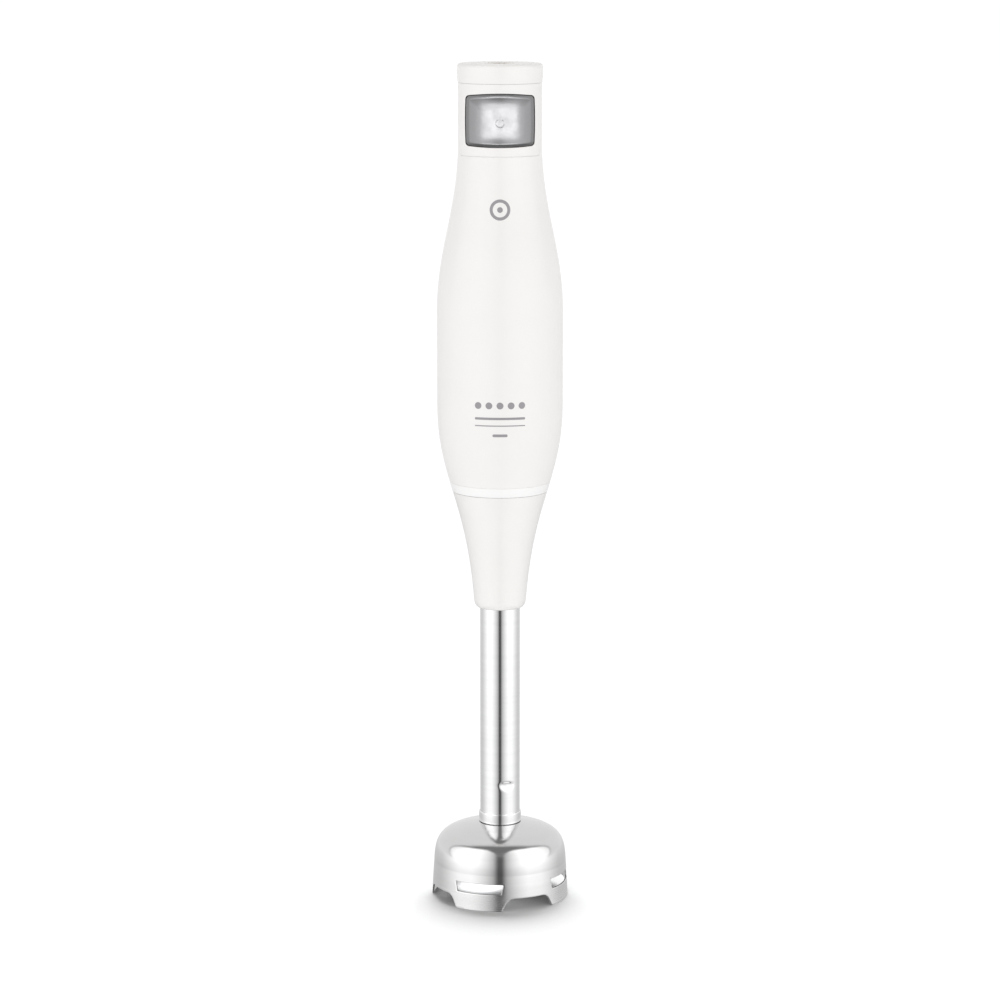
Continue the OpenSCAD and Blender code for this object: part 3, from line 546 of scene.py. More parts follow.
def enamelled_wire(name, colour, turns_scale):
    """Wound copper wire under enamel: close parallel turns in relief that catch the light, with painted shade
    between the turns and a painted highlight along each.
    """
    m = Nodes(name)
    wave = m.add("ShaderNodeTexWave", Vector=m.where, Scale=turns_scale, Distortion=0.6)
    wave.bands_direction = "Z"
    wave.inputs["Detail"].default_value = 1.0
    turns = wave.outputs["Fac"]
    # painted shade between the turns and a painted highlight along each turn, over the copper's own colour
    m.tint(turns, colour, (0.0, 0.35), (0.55, 1.0), (1.0, 1.25))
    m.rough(m.noise(500, 3), 0.22, 0.38)
    m.relief(turns, 0.7, 0.0002)
    m.set(Metallic=0.85, Coat_Weight=0.6, Coat_Roughness=0.12)
    return m.material


def stacked_sheet(name, colour):
    """Pressed steel sheets in a stack: fine layers with a dark varnish between them."""
    m = Nodes(name)
    wave = m.add("ShaderNodeTexWave", Vector=m.where, Scale=320)
    wave.bands_direction = "Z"
    layers = wave.outputs["Fac"]
    m.tint(layers, colour, (0.0, 0.4), (0.35, 1.0), (1.0, 1.2))
    m.rough(m.noise(350, 4), 0.38, 0.6)
    m.relief(layers, 0.5, 0.0001)
    m.set(Metallic=0.8)
    return m.material


def printed_board(name, colour):
    """Circuit board: green mask over faint tracks."""
    m = Nodes(name)
    cells = m.add("ShaderNodeTexVoronoi", Vector=m.stretched(260, 1, 180), Scale=1.0, distance="MANHATTAN")
    tracks = m.span(cells.outputs["Distance"], 0.0, 1.0, 0.38, 0.42)
    m.tint(tracks, colour, (0.0, 1.0), (1.0, 1.7))
    m.rough(m.noise(400, 3), 0.25, 0.4)
    m.relief(tracks, 0.3, 0.00005)
    m.set(Coat_Weight=0.4, Coat_Roughness=0.15)
    return m.material


def printed_ink(name, colour):
    """Pad-printed ink: thin, slightly uneven and duller than the plastic under it."""
    m = Nodes(name)
    cover = m.noise(2600, 3)
    m.tint(cover, colour, (0.3, 0.94), (0.7, 1.05))
    m.rough(cover, 0.38, 0.5)
    m.relief(cover, 0.05, 0.00002)
    return m.material


CREAM = moulded_plastic("cream_plastic", (0.905, 0.896, 0.886), 0.22, grain=0.012, tint=0.012)
CONE_CREAM = moulded_plastic("glossy_cream_plastic", (0.91, 0.898, 0.885), 0.16,
                             grain=0.01, coat=0.8, tint=0.012)
WHITE = moulded_plastic("white_plastic", (0.95, 0.95, 0.95), 0.18, grain=0.01, tint=0.01)
SILVER = satin_metallic("silver_paint", (0.21, 0.21, 0.215), 0.34)
POLISHED = turned_steel("polished_steel", (0.86, 0.86, 0.865), 0.11, 2600, 0.02, 0.12)
BRUSHED = turned_steel("brushed_steel", (0.71, 0.705, 0.705), 0.15, 1800, 0.06, 0.3, worked_up_to=11 * MM)
GREY = moulded_plastic("grey_plastic", (0.30, 0.31, 0.33), 0.42, grain=0.08)
BLACK = moulded_plastic("black_plastic", (0.02, 0.02, 0.022), 0.4, grain=0.1, tint=0.15)
RED = moulded_plastic("red_plastic", (0.45, 0.02, 0.015), 0.3)
YELLOW = moulded_plastic("yellow_plastic", (0.70, 0.45, 0.04), 0.3)
BLUE = moulded_plastic("blue_lacquer", (0.05, 0.22, 0.30), 0.25)
PALE = moulded_plastic("pale_plastic", (0.72, 0.73, 0.70), 0.4)
BOARD = printed_board("green_board", (0.02, 0.13, 0.05))
RUBBER = moulded_rubber("black_rubber", (0.022, 0.022, 0.024))
PALE_RUBBER = moulded_rubber("cream_rubber", (0.80, 0.77, 0.72))
LAMINATION = stacked_sheet("lamination_steel", (0.34, 0.35, 0.37))
ALLOY = machined_metal("cast_alloy", (0.62, 0.63, 0.65), 0.42, wear=0.25)
BEARING = machined_metal("bearing_steel", (0.60, 0.61, 0.63), 0.22)
SPRING = machined_metal("spring_steel", (0.48, 0.49, 0.52), 0.28)
SCREW = machined_metal("zinc_steel", (0.55, 0.57, 0.60), 0.3, blotch=0.2)
BLADE = machined_metal("blade_steel", (0.66, 0.66, 0.68), 0.2, wear=0.6, blotch=0.06)
BRASS = machined_metal("sheet_brass", (0.68, 0.47, 0.17), 0.3, blotch=0.2)
CARBON = moulded_plastic("carbon", (0.03, 0.03, 0.033), 0.55, grain=0.2, tint=0.2)
COPPER = enamelled_wire("copper_wire", (0.62, 0.24, 0.09), 420)
BAR_COPPER = machined_metal("bar_copper", (0.62, 0.27, 0.12), 0.25, blotch=0.25)
INK = printed_ink("grey_ink", (0.33, 0.32, 0.34))

NODE_MATERIALS = [
    (CREAM, "front_shell rear_shell top_cap switch_panel foot_cone"),
    (WHITE, "coupling_ring"),
    (SILVER, "power_button"),
    (POLISHED, "shaft_tube tube_collar"),
    (BRUSHED, "bell"),
    (GREY, "socket_housing foot_spigot bearing_carrier"),
    (BLACK, "micro_switch cooling_fan motor_dog driven_dog"),
    (RED, "switch_plunger motor_leads"),
    (YELLOW, "filter_capacitor"),
    (BLUE, "bleed_resistor"),
    (PALE, "terminal_block"),
    (BOARD, "circuit_board"),
    (RUBBER, "lower_motor_mount upper_motor_mount coupling_o_ring shaft_seal"),
    (PALE_RUBBER, "cord_gland"),
    (LAMINATION, "stator_stack armature_core"),
    (ALLOY, "lower_motor_bracket upper_motor_bracket"),
    (BEARING, "lower_bearing upper_bearing armature_shaft drive_shaft"),
    (SPRING, "button_spring retaining_clip brush_springs circlip"),
    (SCREW, "motor_screws housing_screws seal_retainer blade_nut thrust_washers"),
    (BLADE, "blade"),
    (BRASS, "brush_holders upper_bush lower_bush"),
    (CARBON, "carbon_brushes"),
    (COPPER, "noise_chokes field_coils armature_windings"),
    (BAR_COPPER, "commutator"),
]


def dress_cad_nodes():
    """Gives every CAD node its material."""
    for material, names in NODE_MATERIALS:
        for name in names.split():
            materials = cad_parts[name].data.materials
            materials.clear()
            materials.append(material)


# ---- Camera and light ----

CAMERA_PLACE = (0, -1.600, 0.474)
CAMERA_DOWN_DEG = 9.945
LENS_MM, SENSOR_MM = 122.9, 36
FLOOR_R = 8
FRONT_LEVEL = 1.02          # what the camera sees above the floor


def put(name, data, place, tilt_deg):
    """Adds a camera or light at a place, tilted up by tilt_deg from facing straight down."""
    o = bpy.data.objects.new(name, data)
    o.location = place
    o.rotation_euler = (math.radians(tilt_deg), 0, 0)
    bpy.context.scene.collection.objects.link(o)
    return o


def make_camera():
    data = bpy.data.cameras.new("camera")
    data.lens = LENS_MM
    data.sensor_width = SENSOR_MM
    data.clip_end = 50
    bpy.context.scene.camera = put("camera", data, CAMERA_PLACE, 90 - CAMERA_DOWN_DEG)


def make_floor():
    """Plain pale floor. The studio's light makes it white, so that only the shadow shows."""
    bm = bmesh.new()
    bmesh.ops.create_circle(bm, cap_ends=True, segments=96, radius=FLOOR_R)
    o = to_object("floor", bm)
    m = Nodes("pale_floor")
    grain = m.noise(400, 3)
    m.feed("Base Color", m.colours(grain, (0.3, (0.50, 0.503, 0.507)), (0.7, (0.51, 0.513, 0.517))))
    m.set(Roughness=0.9, Specular_IOR_Level=0.0)
    o.data.materials.append(m.material)
    o.visible_glossy = False
    return o


class World:
    """A new world, and short ways to add nodes to it. A value may be a number or a socket."""

    def __init__(self, name):
        self.world = bpy.data.worlds.new(name)
        self.world.use_nodes = True
        self.tree = self.world.node_tree
        self.tree.nodes.clear()

    def add(self, kind):
        return self.tree.nodes.new(kind)

    def give(self, socket, value):
        """Links a value to a socket, or sets the socket to a number."""
        if isinstance(value, (int, float)):
            socket.default_value = value
        else:
            self.tree.links.new(value, socket)

    def math(self, kind, *values):
        node = self.add("ShaderNodeMath")
        node.operation = kind
        for k, value in enumerate(values):
            self.give(node.inputs[k], value)
        return node.outputs[0]

    def smooth(self, value, edge0, edge1):
        """Rises smoothly from 0 to 1 between two edges."""
        node = self.add("ShaderNodeMapRange")
        node.interpolation_type = "SMOOTHSTEP"
        self.give(node.inputs["Value"], value)
        self.give(node.inputs["From Min"], edge0)
        self.give(node.inputs["From Max"], edge1)
        return node.outputs[0]

    def between(self, value, low, high):
        """low where value is 0 and high where it is 1."""
        return self.math("ADD", self.math("MULTIPLY", self.math("SUBTRACT", 1.0, value), low),
                         self.math("MULTIPLY", value, high))

    def curve(self, value, top, stops):
        """Level along a value from 0 to 1. Stops are (position, level), and no level is over top."""
        node = self.add("ShaderNodeValToRGB")
        self.tree.links.new(value, node.inputs["Fac"])
        ramp = node.color_ramp.elements
        while len(ramp) < len(stops):
            ramp.new(0.5)
        for element, (position, level) in zip(ramp, stops):
            element.position = position
            element.color = (*[level / top] * 3, 1)
        return self.math("MULTIPLY", node.outputs["Color"], top)

    def background(self, colour, strength):
        node = self.add("ShaderNodeBackground")
        node.inputs["Color"].default_value = (*colour, 1)
        self.give(node.inputs["Strength"], strength)
        return node.outputs[0]

    def mix(self, factor, a, b):
        node = self.add("ShaderNodeMixShader")
        for k, value in enumerate((factor, a, b)):
            self.give(node.inputs[k], value)
        return node.outputs[0]


# Brightness round the studio, by degrees from the front: a dark gap, a soft panel, and a pale room behind
AROUND = [(0, 0.10), (4, 0.13), (8, 0.42), (12, 0.72), (23, 1.10), (35, 1.42), (50, 1.70), (75, 1.66),
          (90, 1.42), (106, 1.15), (122, 0.96), (180, 0.95)]
# Degrees over the top from the front horizon, by the direction's |X|: top of the panels, ceiling's edge
PANEL_TOP = [(0, 24), (0.08, 36), (0.17, 52), (0.30, 66), (0.55, 78), (0.75, 98), (0.88, 122), (1, 150)]
CEILING_EDGE = [(0, 88), (0.30, 90), (0.55, 92), (0.75, 106), (0.88, 126), (1, 152)]
OVERHEAD = 0.90
CREASE = 0.22               # dark band high in front, between the panels and the ceiling
UNDER = 0.15                # straight down
SOFT_LIGHT = 1.0            # what dull surfaces get from in front, and half of it from behind
PANEL_EDGE_SOFT = math.radians(9), math.radians(3)      # below and above its edge
CEILING_EDGE_SOFT = math.radians(9), math.radians(9)
PANEL_FOOT_LEVEL = 0.5      # how much is left of the panels' brightness at their foot
# Where the light changes, by the direction's Z: panels from foot to eye level, horizon, straight down
PANEL_FADE_Z, HORIZON_Z, UNDER_Z = (-0.50, 0.10), (0.0, 0.05), (-0.62, -0.80)
BEHIND = 0.30, 0.70         # where the room behind begins and ends, round the studio from 0 to 1


def make_world():
    """White studio for dull surfaces, and for shiny ones two tall panels with a dark gap between them."""
    w = World("studio")
    bpy.context.scene.world = w.world
    w.world.cycles.sampling_method = "NONE"
    parts = w.add("ShaderNodeSeparateXYZ")
    w.tree.links.new(w.add("ShaderNodeTexCoord").outputs["Generated"], parts.inputs[0])
    x = w.math("ABSOLUTE", parts.outputs["X"])
    front = w.math("MULTIPLY", parts.outputs["Y"], -1.0)
    z = parts.outputs["Z"]
    around = w.math("DIVIDE", w.math("ARCTAN2", x, front), math.pi)
    walls = w.curve(around, 2.0, [(a / 180, level) for a, level in AROUND])
    # the panels are brightest at eye level and fade towards the floor
    fade = w.between(w.smooth(z, *PANEL_FADE_Z), PANEL_FOOT_LEVEL, 1.0)
    walls = w.math("MULTIPLY", walls, fade)
    # over the top, from the front horizon (0) to the back one (pi)
    over = w.math("ARCTAN2", z, front)

    def past(stops, before, after):
        """Rises from 0 to 1 over an edge that is given by its angle over the top."""
        edge = w.curve(x, math.pi, [(at, math.radians(angle)) for at, angle in stops])
        return w.smooth(over, w.math("SUBTRACT", edge, before), w.math("ADD", edge, after))

    above_panels = w.math("MULTIPLY", past(PANEL_TOP, *PANEL_EDGE_SOFT), w.smooth(z, *HORIZON_Z))
    ceiling = past(CEILING_EDGE, *CEILING_EDGE_SOFT)
    level = w.between(above_panels, walls, w.between(ceiling, CREASE, OVERHEAD))
    level = w.between(w.smooth(z, *UNDER_Z), level, UNDER)
    shiny = w.background((1, 1, 1), level)
    behind = w.smooth(around, *BEHIND)
    warm = w.background((1.0, 0.985, 0.97), w.between(behind, SOFT_LIGHT, SOFT_LIGHT * 0.5))
    plain = w.background((1, 1, 1), FRONT_LEVEL)
    path = w.add("ShaderNodeLightPath")
    lit = w.mix(path.outputs["Is Glossy Ray"], warm, shiny)
    seen = w.mix(path.outputs["Is Camera Ray"], lit, plain)
    w.tree.links.new(seen, w.add("ShaderNodeOutputWorld").inputs[0])


def group_of(name, members):
    """Collection of the objects that a light is linked to."""
    group = bpy.data.collections.new(name)
    for member in members:
        group.objects.link(member)
    return group


def make_floor_light(floor, bell):
    """A large soft light from above and behind, for the floor alone. Only the bell shades it, so that the
    shadow stays close to it."""
    data = bpy.data.lights.new("floor_light", "SUN")
    data.angle = math.radians(55)
    data.energy = 5.7
    o = put("floor_light", data, (0, 0, 0), -41)
    o.visible_glossy = False
    o.light_linking.receiver_collection = group_of("lit_floor", [floor])
    o.light_linking.blocker_collection = group_of("shading_bell", [bell])


def make_slot_light(floor):
    """A small light under the bell, which brightens the floor that shows through the slots."""
    data = bpy.data.lights.new("slot_light", "AREA")
    data.shape = "DISK"
    data.size = 23 * MM
    data.energy = 0.0042
    o = put("slot_light", data, (-9 * MM, 11 * MM, 4 * MM), 0)
    o.visible_camera = False
    o.visible_glossy = False
    o.light_linking.receiver_collection = group_of("slot_floor", [floor])


def add_panel(name, place, tilt_deg, size, energy, receivers):
    """A soft rectangular light that reaches only some objects."""
    data = bpy.data.lights.new(name, "AREA")
    data.shape = "RECTANGLE"
    data.size, data.size_y = size
    data.energy = energy
    o = put(name, data, place, tilt_deg)
    o.light_linking.receiver_collection = group_of(name + "_receivers", receivers)


def make_button_lights(receivers):
    """A wide panel in front, which the button's face reflects, and a high one for its upper ridge."""
    add_panel("front_panel", (0, -1.2, BUTTON_Z - 0.07), 90, (2.8, 0.3), 18, receivers)
    add_panel("high_panel", (0, -0.9, BUTTON_Z + 0.95), 43, (1.4, 0.5), 9, receivers)


# ---- Handle ----

SHEET_R = 25 * MM           # radius at which the shells' flat outlines are drawn
SHEET_STEP = 1.25 * MM
SHELL_EDGE = math.pi / 2 * SHEET_R - 0.02 * MM
SHELL_LOW = RING_TOP + 0.01 * MM
EDGE_SOFT = 0.12 * MM
POST_R = 3.2 * MM           # posts round the housing screws


def on_body(angle, z, inset=0.0):
    """Point of the body at an angle from the front, towards +X."""
    r = body_r(z) - inset
    return Vector((r * math.sin(angle), -r * math.cos(angle), z))


def shelf(bm, z, h, r_in, start):
    """Half of a shelf that reaches in from the wall of a half shell."""
    outer = body_outline(z, z + h, SHELL_WALL - 0.05 * MM, h)
    outline = outer + rounded([(r_in, z + h, 0.4 * MM), (r_in, z, 0.4 * MM)], closed=False)
    add_lathe(bm, outline, start=start, sweep=math.pi, segments=72)


def tongues(bm, start):
    """The shells' thin ends, which the coupling ring and the cap close over."""
    ring_end = RING_TOP - 2 * MM, RING_TOP + 1 * MM
    low = body_outline(*ring_end, SHELL_WALL / 2) + body_outline(*ring_end, SHELL_WALL)[::-1]
    inner, outer = NECK_R - SHELL_WALL, NECK_R - SHELL_WALL / 2
    z0, z1 = CAP_Z - 1 * MM, CAP_Z + 2 * MM
    for outline in (low, [(inner, z0), (outer, z0), (outer, z1), (inner, z1)]):
        add_lathe(bm, outline, start=start, sweep=math.pi, segments=90)


def screw_places():
    """(x, z) of each screw on the +X side, worked out as the CAD does."""
    bridge = JOINT_Z + 105.3 * MM
    heights = (bridge + 14.5 * MM, CAP_Z - 39 * MM)
    return [(body_r(z) - SHELL_WALL - 5 * MM, z) for z in heights]


def post_reach(x, z, inset):
    """How far from the seam a post at x and z can reach before its outer side meets the shell."""
    return math.sqrt((body_r(z) - inset) ** 2 - (x + POST_R) ** 2)


def make_shell(name, node, start, outer, holes, place, back, bars):
    """Half of the body: its wall, then its shelves, its tongues and what surrounds each screw.
    The shelves start at an angle from +X, and bars(x, z) lists (y0, y1, radius, bore)."""
    bm = bmesh.new()
    add_sheet(bm, outer, holes, SHEET_STEP, place, back)
    o = soften(to_object(name, bm), EDGE_SOFT)
    bm = bmesh.new()
    bm.from_mesh(o.data)
    shelf(bm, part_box("upper_motor_mount")[0].z + 1.2 * MM, 3 * MM, 13.1 * MM, start)
    shelf(bm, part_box("socket_housing")[1].z + 0.3 * MM, 2 * MM, 22.8 * MM, start)
    tongues(bm, start)
    for x, z in screw_places():
        for mirror in (-1, 1):
            for bar in bars(x, z):
                add_bar_y(bm, mirror * x, z, *bar)
    bm.to_mesh(o.data)
    bm.free()
    shade_smooth(o.data)
    return piece(o, CREAM, "handle", "cream_plastic", node)


def make_front_shell():
    """Front half, with the window for the switch panel and a bored post that takes each screw."""
    edge, side = SHELL_EDGE, (WINDOW_ANGLE + SEAM / NECK_R) * SHEET_R
    outer = [(-edge, SHELL_LOW), (edge, SHELL_LOW), (edge, CAP_Z), (side, CAP_Z)]
    outer += rounded([(side, CAP_Z, 0), (side, WINDOW_Z, 1.2 * MM), (-side, WINDOW_Z, 1.2 * MM),
                      (-side, CAP_Z, 0)], closed=False)[1:] + [(-edge, CAP_Z)]
    make_shell("front_casing", "front_shell", math.pi, outer, [], lambda u, z: on_body(u / SHEET_R, z),
               lambda u, z: on_body(u / SHEET_R, z, SHELL_WALL),
               lambda x, z: [(-post_reach(x, z, 1 * MM), -0.02 * MM, POST_R, 1.55 * MM)])


def make_rear_shell():
    """Rear half, with a recess for the head of each screw and a sleeve round its shank."""
    outer = [(-SHELL_EDGE, SHELL_LOW), (SHELL_EDGE, SHELL_LOW), (SHELL_EDGE, CAP_Z), (-SHELL_EDGE, CAP_Z)]
    recess_r, recess_end, count = 2.8 * MM, 6 * MM, 28
    holes = []
    for x, z in screw_places():
        for mirror in (-1, 1):
            ring = []
            for k in range(count):
                a = FULL_TURN * k / count
                hx, hz = mirror * x + recess_r * math.cos(a), z + recess_r * math.sin(a)
                ring.append((math.asin(hx / body_r(hz)) * SHEET_R, hz))
            holes.append(ring)

    def place(u, z, inset=0.0):
        p = on_body(u / SHEET_R, z, inset)
        return Vector((p.x, -p.y, z))

    def back(u, z):
        """The walls of a recess go straight in, and the rest is as thick as the shell."""
        p = place(u, z)
        for x, hz in screw_places():
            if math.hypot(abs(p.x) - x, z - hz) < recess_r + 0.1 * MM:
                return Vector((p.x, p.y - 3.0 * MM, z))
        return place(u, z, SHELL_WALL)

    def bars(x, z):
        return [(recess_end, post_reach(x, z, 1.2 * MM), POST_R + 0.1 * MM, recess_r),
                (0.02 * MM, recess_end, POST_R, 1.65 * MM)]

    make_shell("rear_casing", "rear_shell", 0.0, outer, holes, place, back, bars)


def make_top_cap():
    rim = NECK_R + 0.45 * MM
    tongue_in, tongue_out = NECK_R - SHELL_WALL - 0.1 * MM, NECK_R - SHELL_WALL / 2 + 0.1 * MM
    outline = rounded([
        (tongue_out, CAP_Z + SEAM, 0),
        (NECK_R + 0.15 * MM, CAP_Z + SEAM, 0.3 * MM),
        (rim, CAP_Z + 2.6 * MM, 2.0 * MM),
        (rim, TOP_Z - 0.05 * MM, 1.9 * MM),
        (11 * MM, TOP_Z, 3 * MM),
        (7 * MM, TOP_Z, 0.3 * MM),
        (7 * MM, TOP_Z - 1 * MM, 0.1 * MM),
        (5.2 * MM, TOP_Z - 1 * MM, 0.1 * MM),
        (5.2 * MM, TOP_Z - 2.5 * MM, 0.1 * MM),
        (15.2 * MM, TOP_Z - 2.5 * MM, 0.6 * MM),
        (15.2 * MM, CAP_Z + 0.1 * MM, 0.2 * MM),
        (tongue_in, CAP_Z + 0.1 * MM, 0.1 * MM),
        (tongue_in, CAP_Z + 2.1 * MM, 0.1 * MM),
        (tongue_out, CAP_Z + 2.1 * MM, 0.1 * MM),
    ], steps=8)
    o = lathe("cap", outline)
    return piece(o, CREAM, "handle", "cream_plastic", "top_cap")


def make_coupling_ring():
    low, high = JOINT_Z + 0.05 * MM, RING_TOP - 0.01 * MM
    groove = RING_TOP - 2.2 * MM
    skirt_r, skirt_top, bore = 19.2 * MM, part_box("coupling_ring")[1].z, 16.7 * MM
    inner, outer = SHELL_WALL + 0.1 * MM, SHELL_WALL / 2 - 0.1 * MM
    outline = rounded([
        (bore, low, 0.3 * MM),
        (body_r(low), low, 0.25 * MM),
        (body_r((low + high) / 2) + 0.1 * MM, (low + high) / 2, 1.5 * MM),
        (body_r(high), high, 0.12 * MM),
        (body_r(high) - outer, high, 0.1 * MM),
        (body_r(groove) - outer, groove, 0.1 * MM),
        (body_r(groove) - inner, groove, 0.1 * MM),
        (body_r(high) - inner, high, 0.1 * MM),
        (skirt_r, high, 0.1 * MM),
        (skirt_r, skirt_top, 0.3 * MM),
        (bore, skirt_top, 0.3 * MM),
    ])
    o = lathe("white_ring", outline)
    return piece(o, WHITE, "handle", "white_plastic", "coupling_ring")


def on_neck(x, z, r=None, depth=0.0):
    """Point on the front of the neck at x and z, depth behind its surface."""
    r = r or NECK_R
    return Vector((x, -math.sqrt(max(r * r - x * x, 0)) + depth, z))


def make_switch_panel():
    side = (WINDOW_ANGLE - 0.2 * SEAM / NECK_R) * NECK_R
    outer = rounded([(-side, WINDOW_Z + SEAM, 1.1 * MM), (side, WINDOW_Z + SEAM, 1.1 * MM),
                     (side, CAP_Z - SEAM, 0), (-side, CAP_Z - SEAM, 0)])
    hole = [(math.asin(x / NECK_R) * NECK_R, z + BUTTON_Z) for x, z in button_outline(GAP)]

    wall_x = BUTTON_W / 2 + GAP + 0.02 * MM
    wall_u = math.asin(wall_x / NECK_R) * NECK_R
    deep = 2.8 * MM

    def place(u, z):
        return Vector((NECK_R * math.sin(u / NECK_R), -NECK_R * math.cos(u / NECK_R), z))

    def back(u, z):
        """Straight back across the opening. Beside it the panel narrows to a wedge that clears the button."""
        x = NECK_R * math.sin(u / NECK_R)
        if abs(x) <= wall_x:
            return on_neck(x, z, depth=deep)
        t = min(1.0, (abs(u) - wall_u) / (side - wall_u))
        wall = on_neck(wall_x, z, depth=deep)
        tip = Vector((wall_x + 0.1 * MM, -(wall_x + 0.1 * MM) / math.tan(side / NECK_R), z))
        p = wall.lerp(tip, t)
        return Vector((math.copysign(p.x, x), p.y, z))

    bm = bmesh.new()
    add_sheet(bm, outer, [hole], 1.0 * MM, place, back)
    o = soften(to_object("button_panel", bm), EDGE_SOFT)
    return piece(o, CREAM, "handle", "cream_plastic", "switch_panel")


# Each ring of the button, as (inset from its outline, depth behind the crown): a skirt, a bevelled border,
# a rounded ridge, and a dished face
BUTTON_SECTION = rounded([
    (0.0, 4.6 * MM, 0.2 * MM),
    (0.0, 1.05 * MM, 0.2 * MM),
    (1.0 * MM, 0.16 * MM, 0.2 * MM),
    (1.45 * MM, 0.0, 0.35 * MM),
    (2.4 * MM, 0.24 * MM, 0.5 * MM),
    (4.0 * MM, 0.50 * MM, 0.9 * MM),
    (6.4 * MM, 0.64 * MM, 0.9 * MM),
], closed=False, steps=4)
FACE_DEPTH = 0.66 * MM
BUTTON_SKIN = 2.6 * MM


def make_button():
    """The button's cap: one loft from the back of its skirt to the middle of its dished face."""
    bm = bmesh.new()

    def ring(points, depth):
        return [bm.verts.new(on_neck(x, BUTTON_Z + z, BUTTON_R, depth)) for x, z in points]

    rows = [ring(button_outline(-inset, max(0.4 * MM, BUTTON_CORNER - inset * 0.5)), depth)
            for inset, depth in BUTTON_SECTION]
    last_inset, last_depth = BUTTON_SECTION[-1]
    last = button_outline(-last_inset, 0.4 * MM)
    for k in range(1, 10):
        s = 1 - k / 10
        depth = last_depth + (FACE_DEPTH - last_depth) * (1 - s * s)
        rows.append(ring([(x * s, z * s) for x, z in last], depth))
    middle = bm.verts.new(on_neck(0, BUTTON_Z, BUTTON_R, FACE_DEPTH))
    inside_rows = [rows[0]] + [ring([(x * s * 0.94, z * s * 0.92) for x, z in button_outline()], BUTTON_SKIN)
                               for s in (1.0, 0.75, 0.5, 0.25)]
    back_middle = bm.verts.new(on_neck(0, BUTTON_Z, BUTTON_R, BUTTON_SKIN))
    add_rows(bm, rows)
    add_rows(bm, inside_rows[::-1])
    n = len(last)
    for i in range(n):
        j = (i + 1) % n
        bm.faces.new((rows[-1][i], rows[-1][j], middle))
        bm.faces.new((inside_rows[-1][j], inside_rows[-1][i], back_middle))
    # stem and hooks, as in the CAD
    add_bar_y(bm, 0, BUTTON_Z, -BUTTON_R + 2.2 * MM, -11.5 * MM, 2.2 * MM)
    hook_x, hook_y, hook_end = 5 * MM, -14.1 * MM, -12.7 * MM
    for side in (-1, 1):
        arm_z = BUTTON_Z + side * (BUTTON_H / 2 - 1.6 * MM)
        add_block(bm, (-hook_x, -17 * MM, arm_z - 0.9 * MM), (hook_x, hook_end, arm_z + 0.9 * MM))
        tip_z = BUTTON_Z + side * BUTTON_H / 2
        add_block(bm, (-hook_x, hook_y, tip_z - 1.9 * MM), (hook_x, hook_end, tip_z + 1.9 * MM))
    o = to_object("button_cap", bm, sharp_deg=60)
    return piece(o, SILVER, "button", "silver_plastic", "power_button")


def make_power_symbol():
    """A raised power symbol just below the button's middle: a ring open at the top, and a bar."""
    bm = bmesh.new()
    radius, half, lift = 1.9 * MM, 0.30 * MM, 0.11 * MM
    centre = BUTTON_Z - 0.8 * MM

    def strip(path):
        """A low rounded ridge along a path of (x, z)."""
        rows = []
        for i, p in enumerate(path):
            a, b = Vector(path[max(i - 1, 0)]), Vector(path[min(i + 1, len(path) - 1)])
            side = (b - a).normalized().orthogonal()
            row = []
            for t in (-1, -0.7, 0, 0.7, 1):
                q = Vector(p) + side * half * t
                depth = FACE_DEPTH + 0.02 * MM - lift * (1 - t * t)
                row.append(bm.verts.new(on_neck(q.x, centre + q.y, BUTTON_R, depth)))
            rows.append(row)
        add_rows(bm, rows, ring=False)

    open_half = math.radians(35)
    turns = np.linspace(open_half, FULL_TURN - open_half, 41)
    strip([(radius * math.sin(a), radius * math.cos(a)) for a in turns])
    strip([(0, z) for z in np.linspace(0.2 * radius, 1.5 * radius, 8)])
    o = to_object("power_symbol", bm, sharp_deg=80)
    return piece(o, SILVER, "button", "silver_plastic")


def make_print():
    """Plain marks in grey ink: a ring and dot above the grip, and five dots over three lines below it."""
    bm = bmesh.new()

    def ink(z, loop, *holes):
        """A thin film on the body, from a flat outline around (0, 0) that is moved up to z."""
        outer, *inner = [[(u, v + z) for u, v in flat] for flat in (loop, *holes)]
        add_sheet(bm, outer, inner, 0.9 * MM, lambda u, v: on_body(u / body_r(v), v, -0.03 * MM),
                  lambda u, v: on_body(u / body_r(v), v, 0.01 * MM))

    def circle(r, n, x=0.0):
        turns = [FULL_TURN * k / n for k in range(n)]
        return [(x + r * math.cos(a), r * math.sin(a)) for a in turns]

    def line(w, h):
        corners = ((-1, -1), (1, -1), (1, 1), (-1, 1))
        return rounded([(sx * w / 2, sz * h / 2, h * 0.45) for sx, sz in corners])

    mark_z = GRIP_HIGH + 49.5 * MM
    ink(mark_z, circle(4.8 * MM, 56), circle(3.4 * MM, 56))
    ink(mark_z, circle(1.3 * MM, 24))
    label_z = GRIP_LOW - 6.5 * MM
    dots, pitch = 5, 5.2 * MM
    for k in range(dots):
        ink(label_z + 9.5 * MM, circle(1.6 * MM, 28, (k - dots // 2) * pitch))
    for rise, w, h in ((3.4 * MM, 24 * MM, 1.1 * MM), (0, 24 * MM, 0.5 * MM), (-4.6 * MM, 7 * MM, 1.3 * MM)):
        ink(label_z + rise, line(w, h))
    o = to_object("printed_mark", bm)
    return piece(o, INK, "handle", "grey_plastic")


# ---- Foot ----

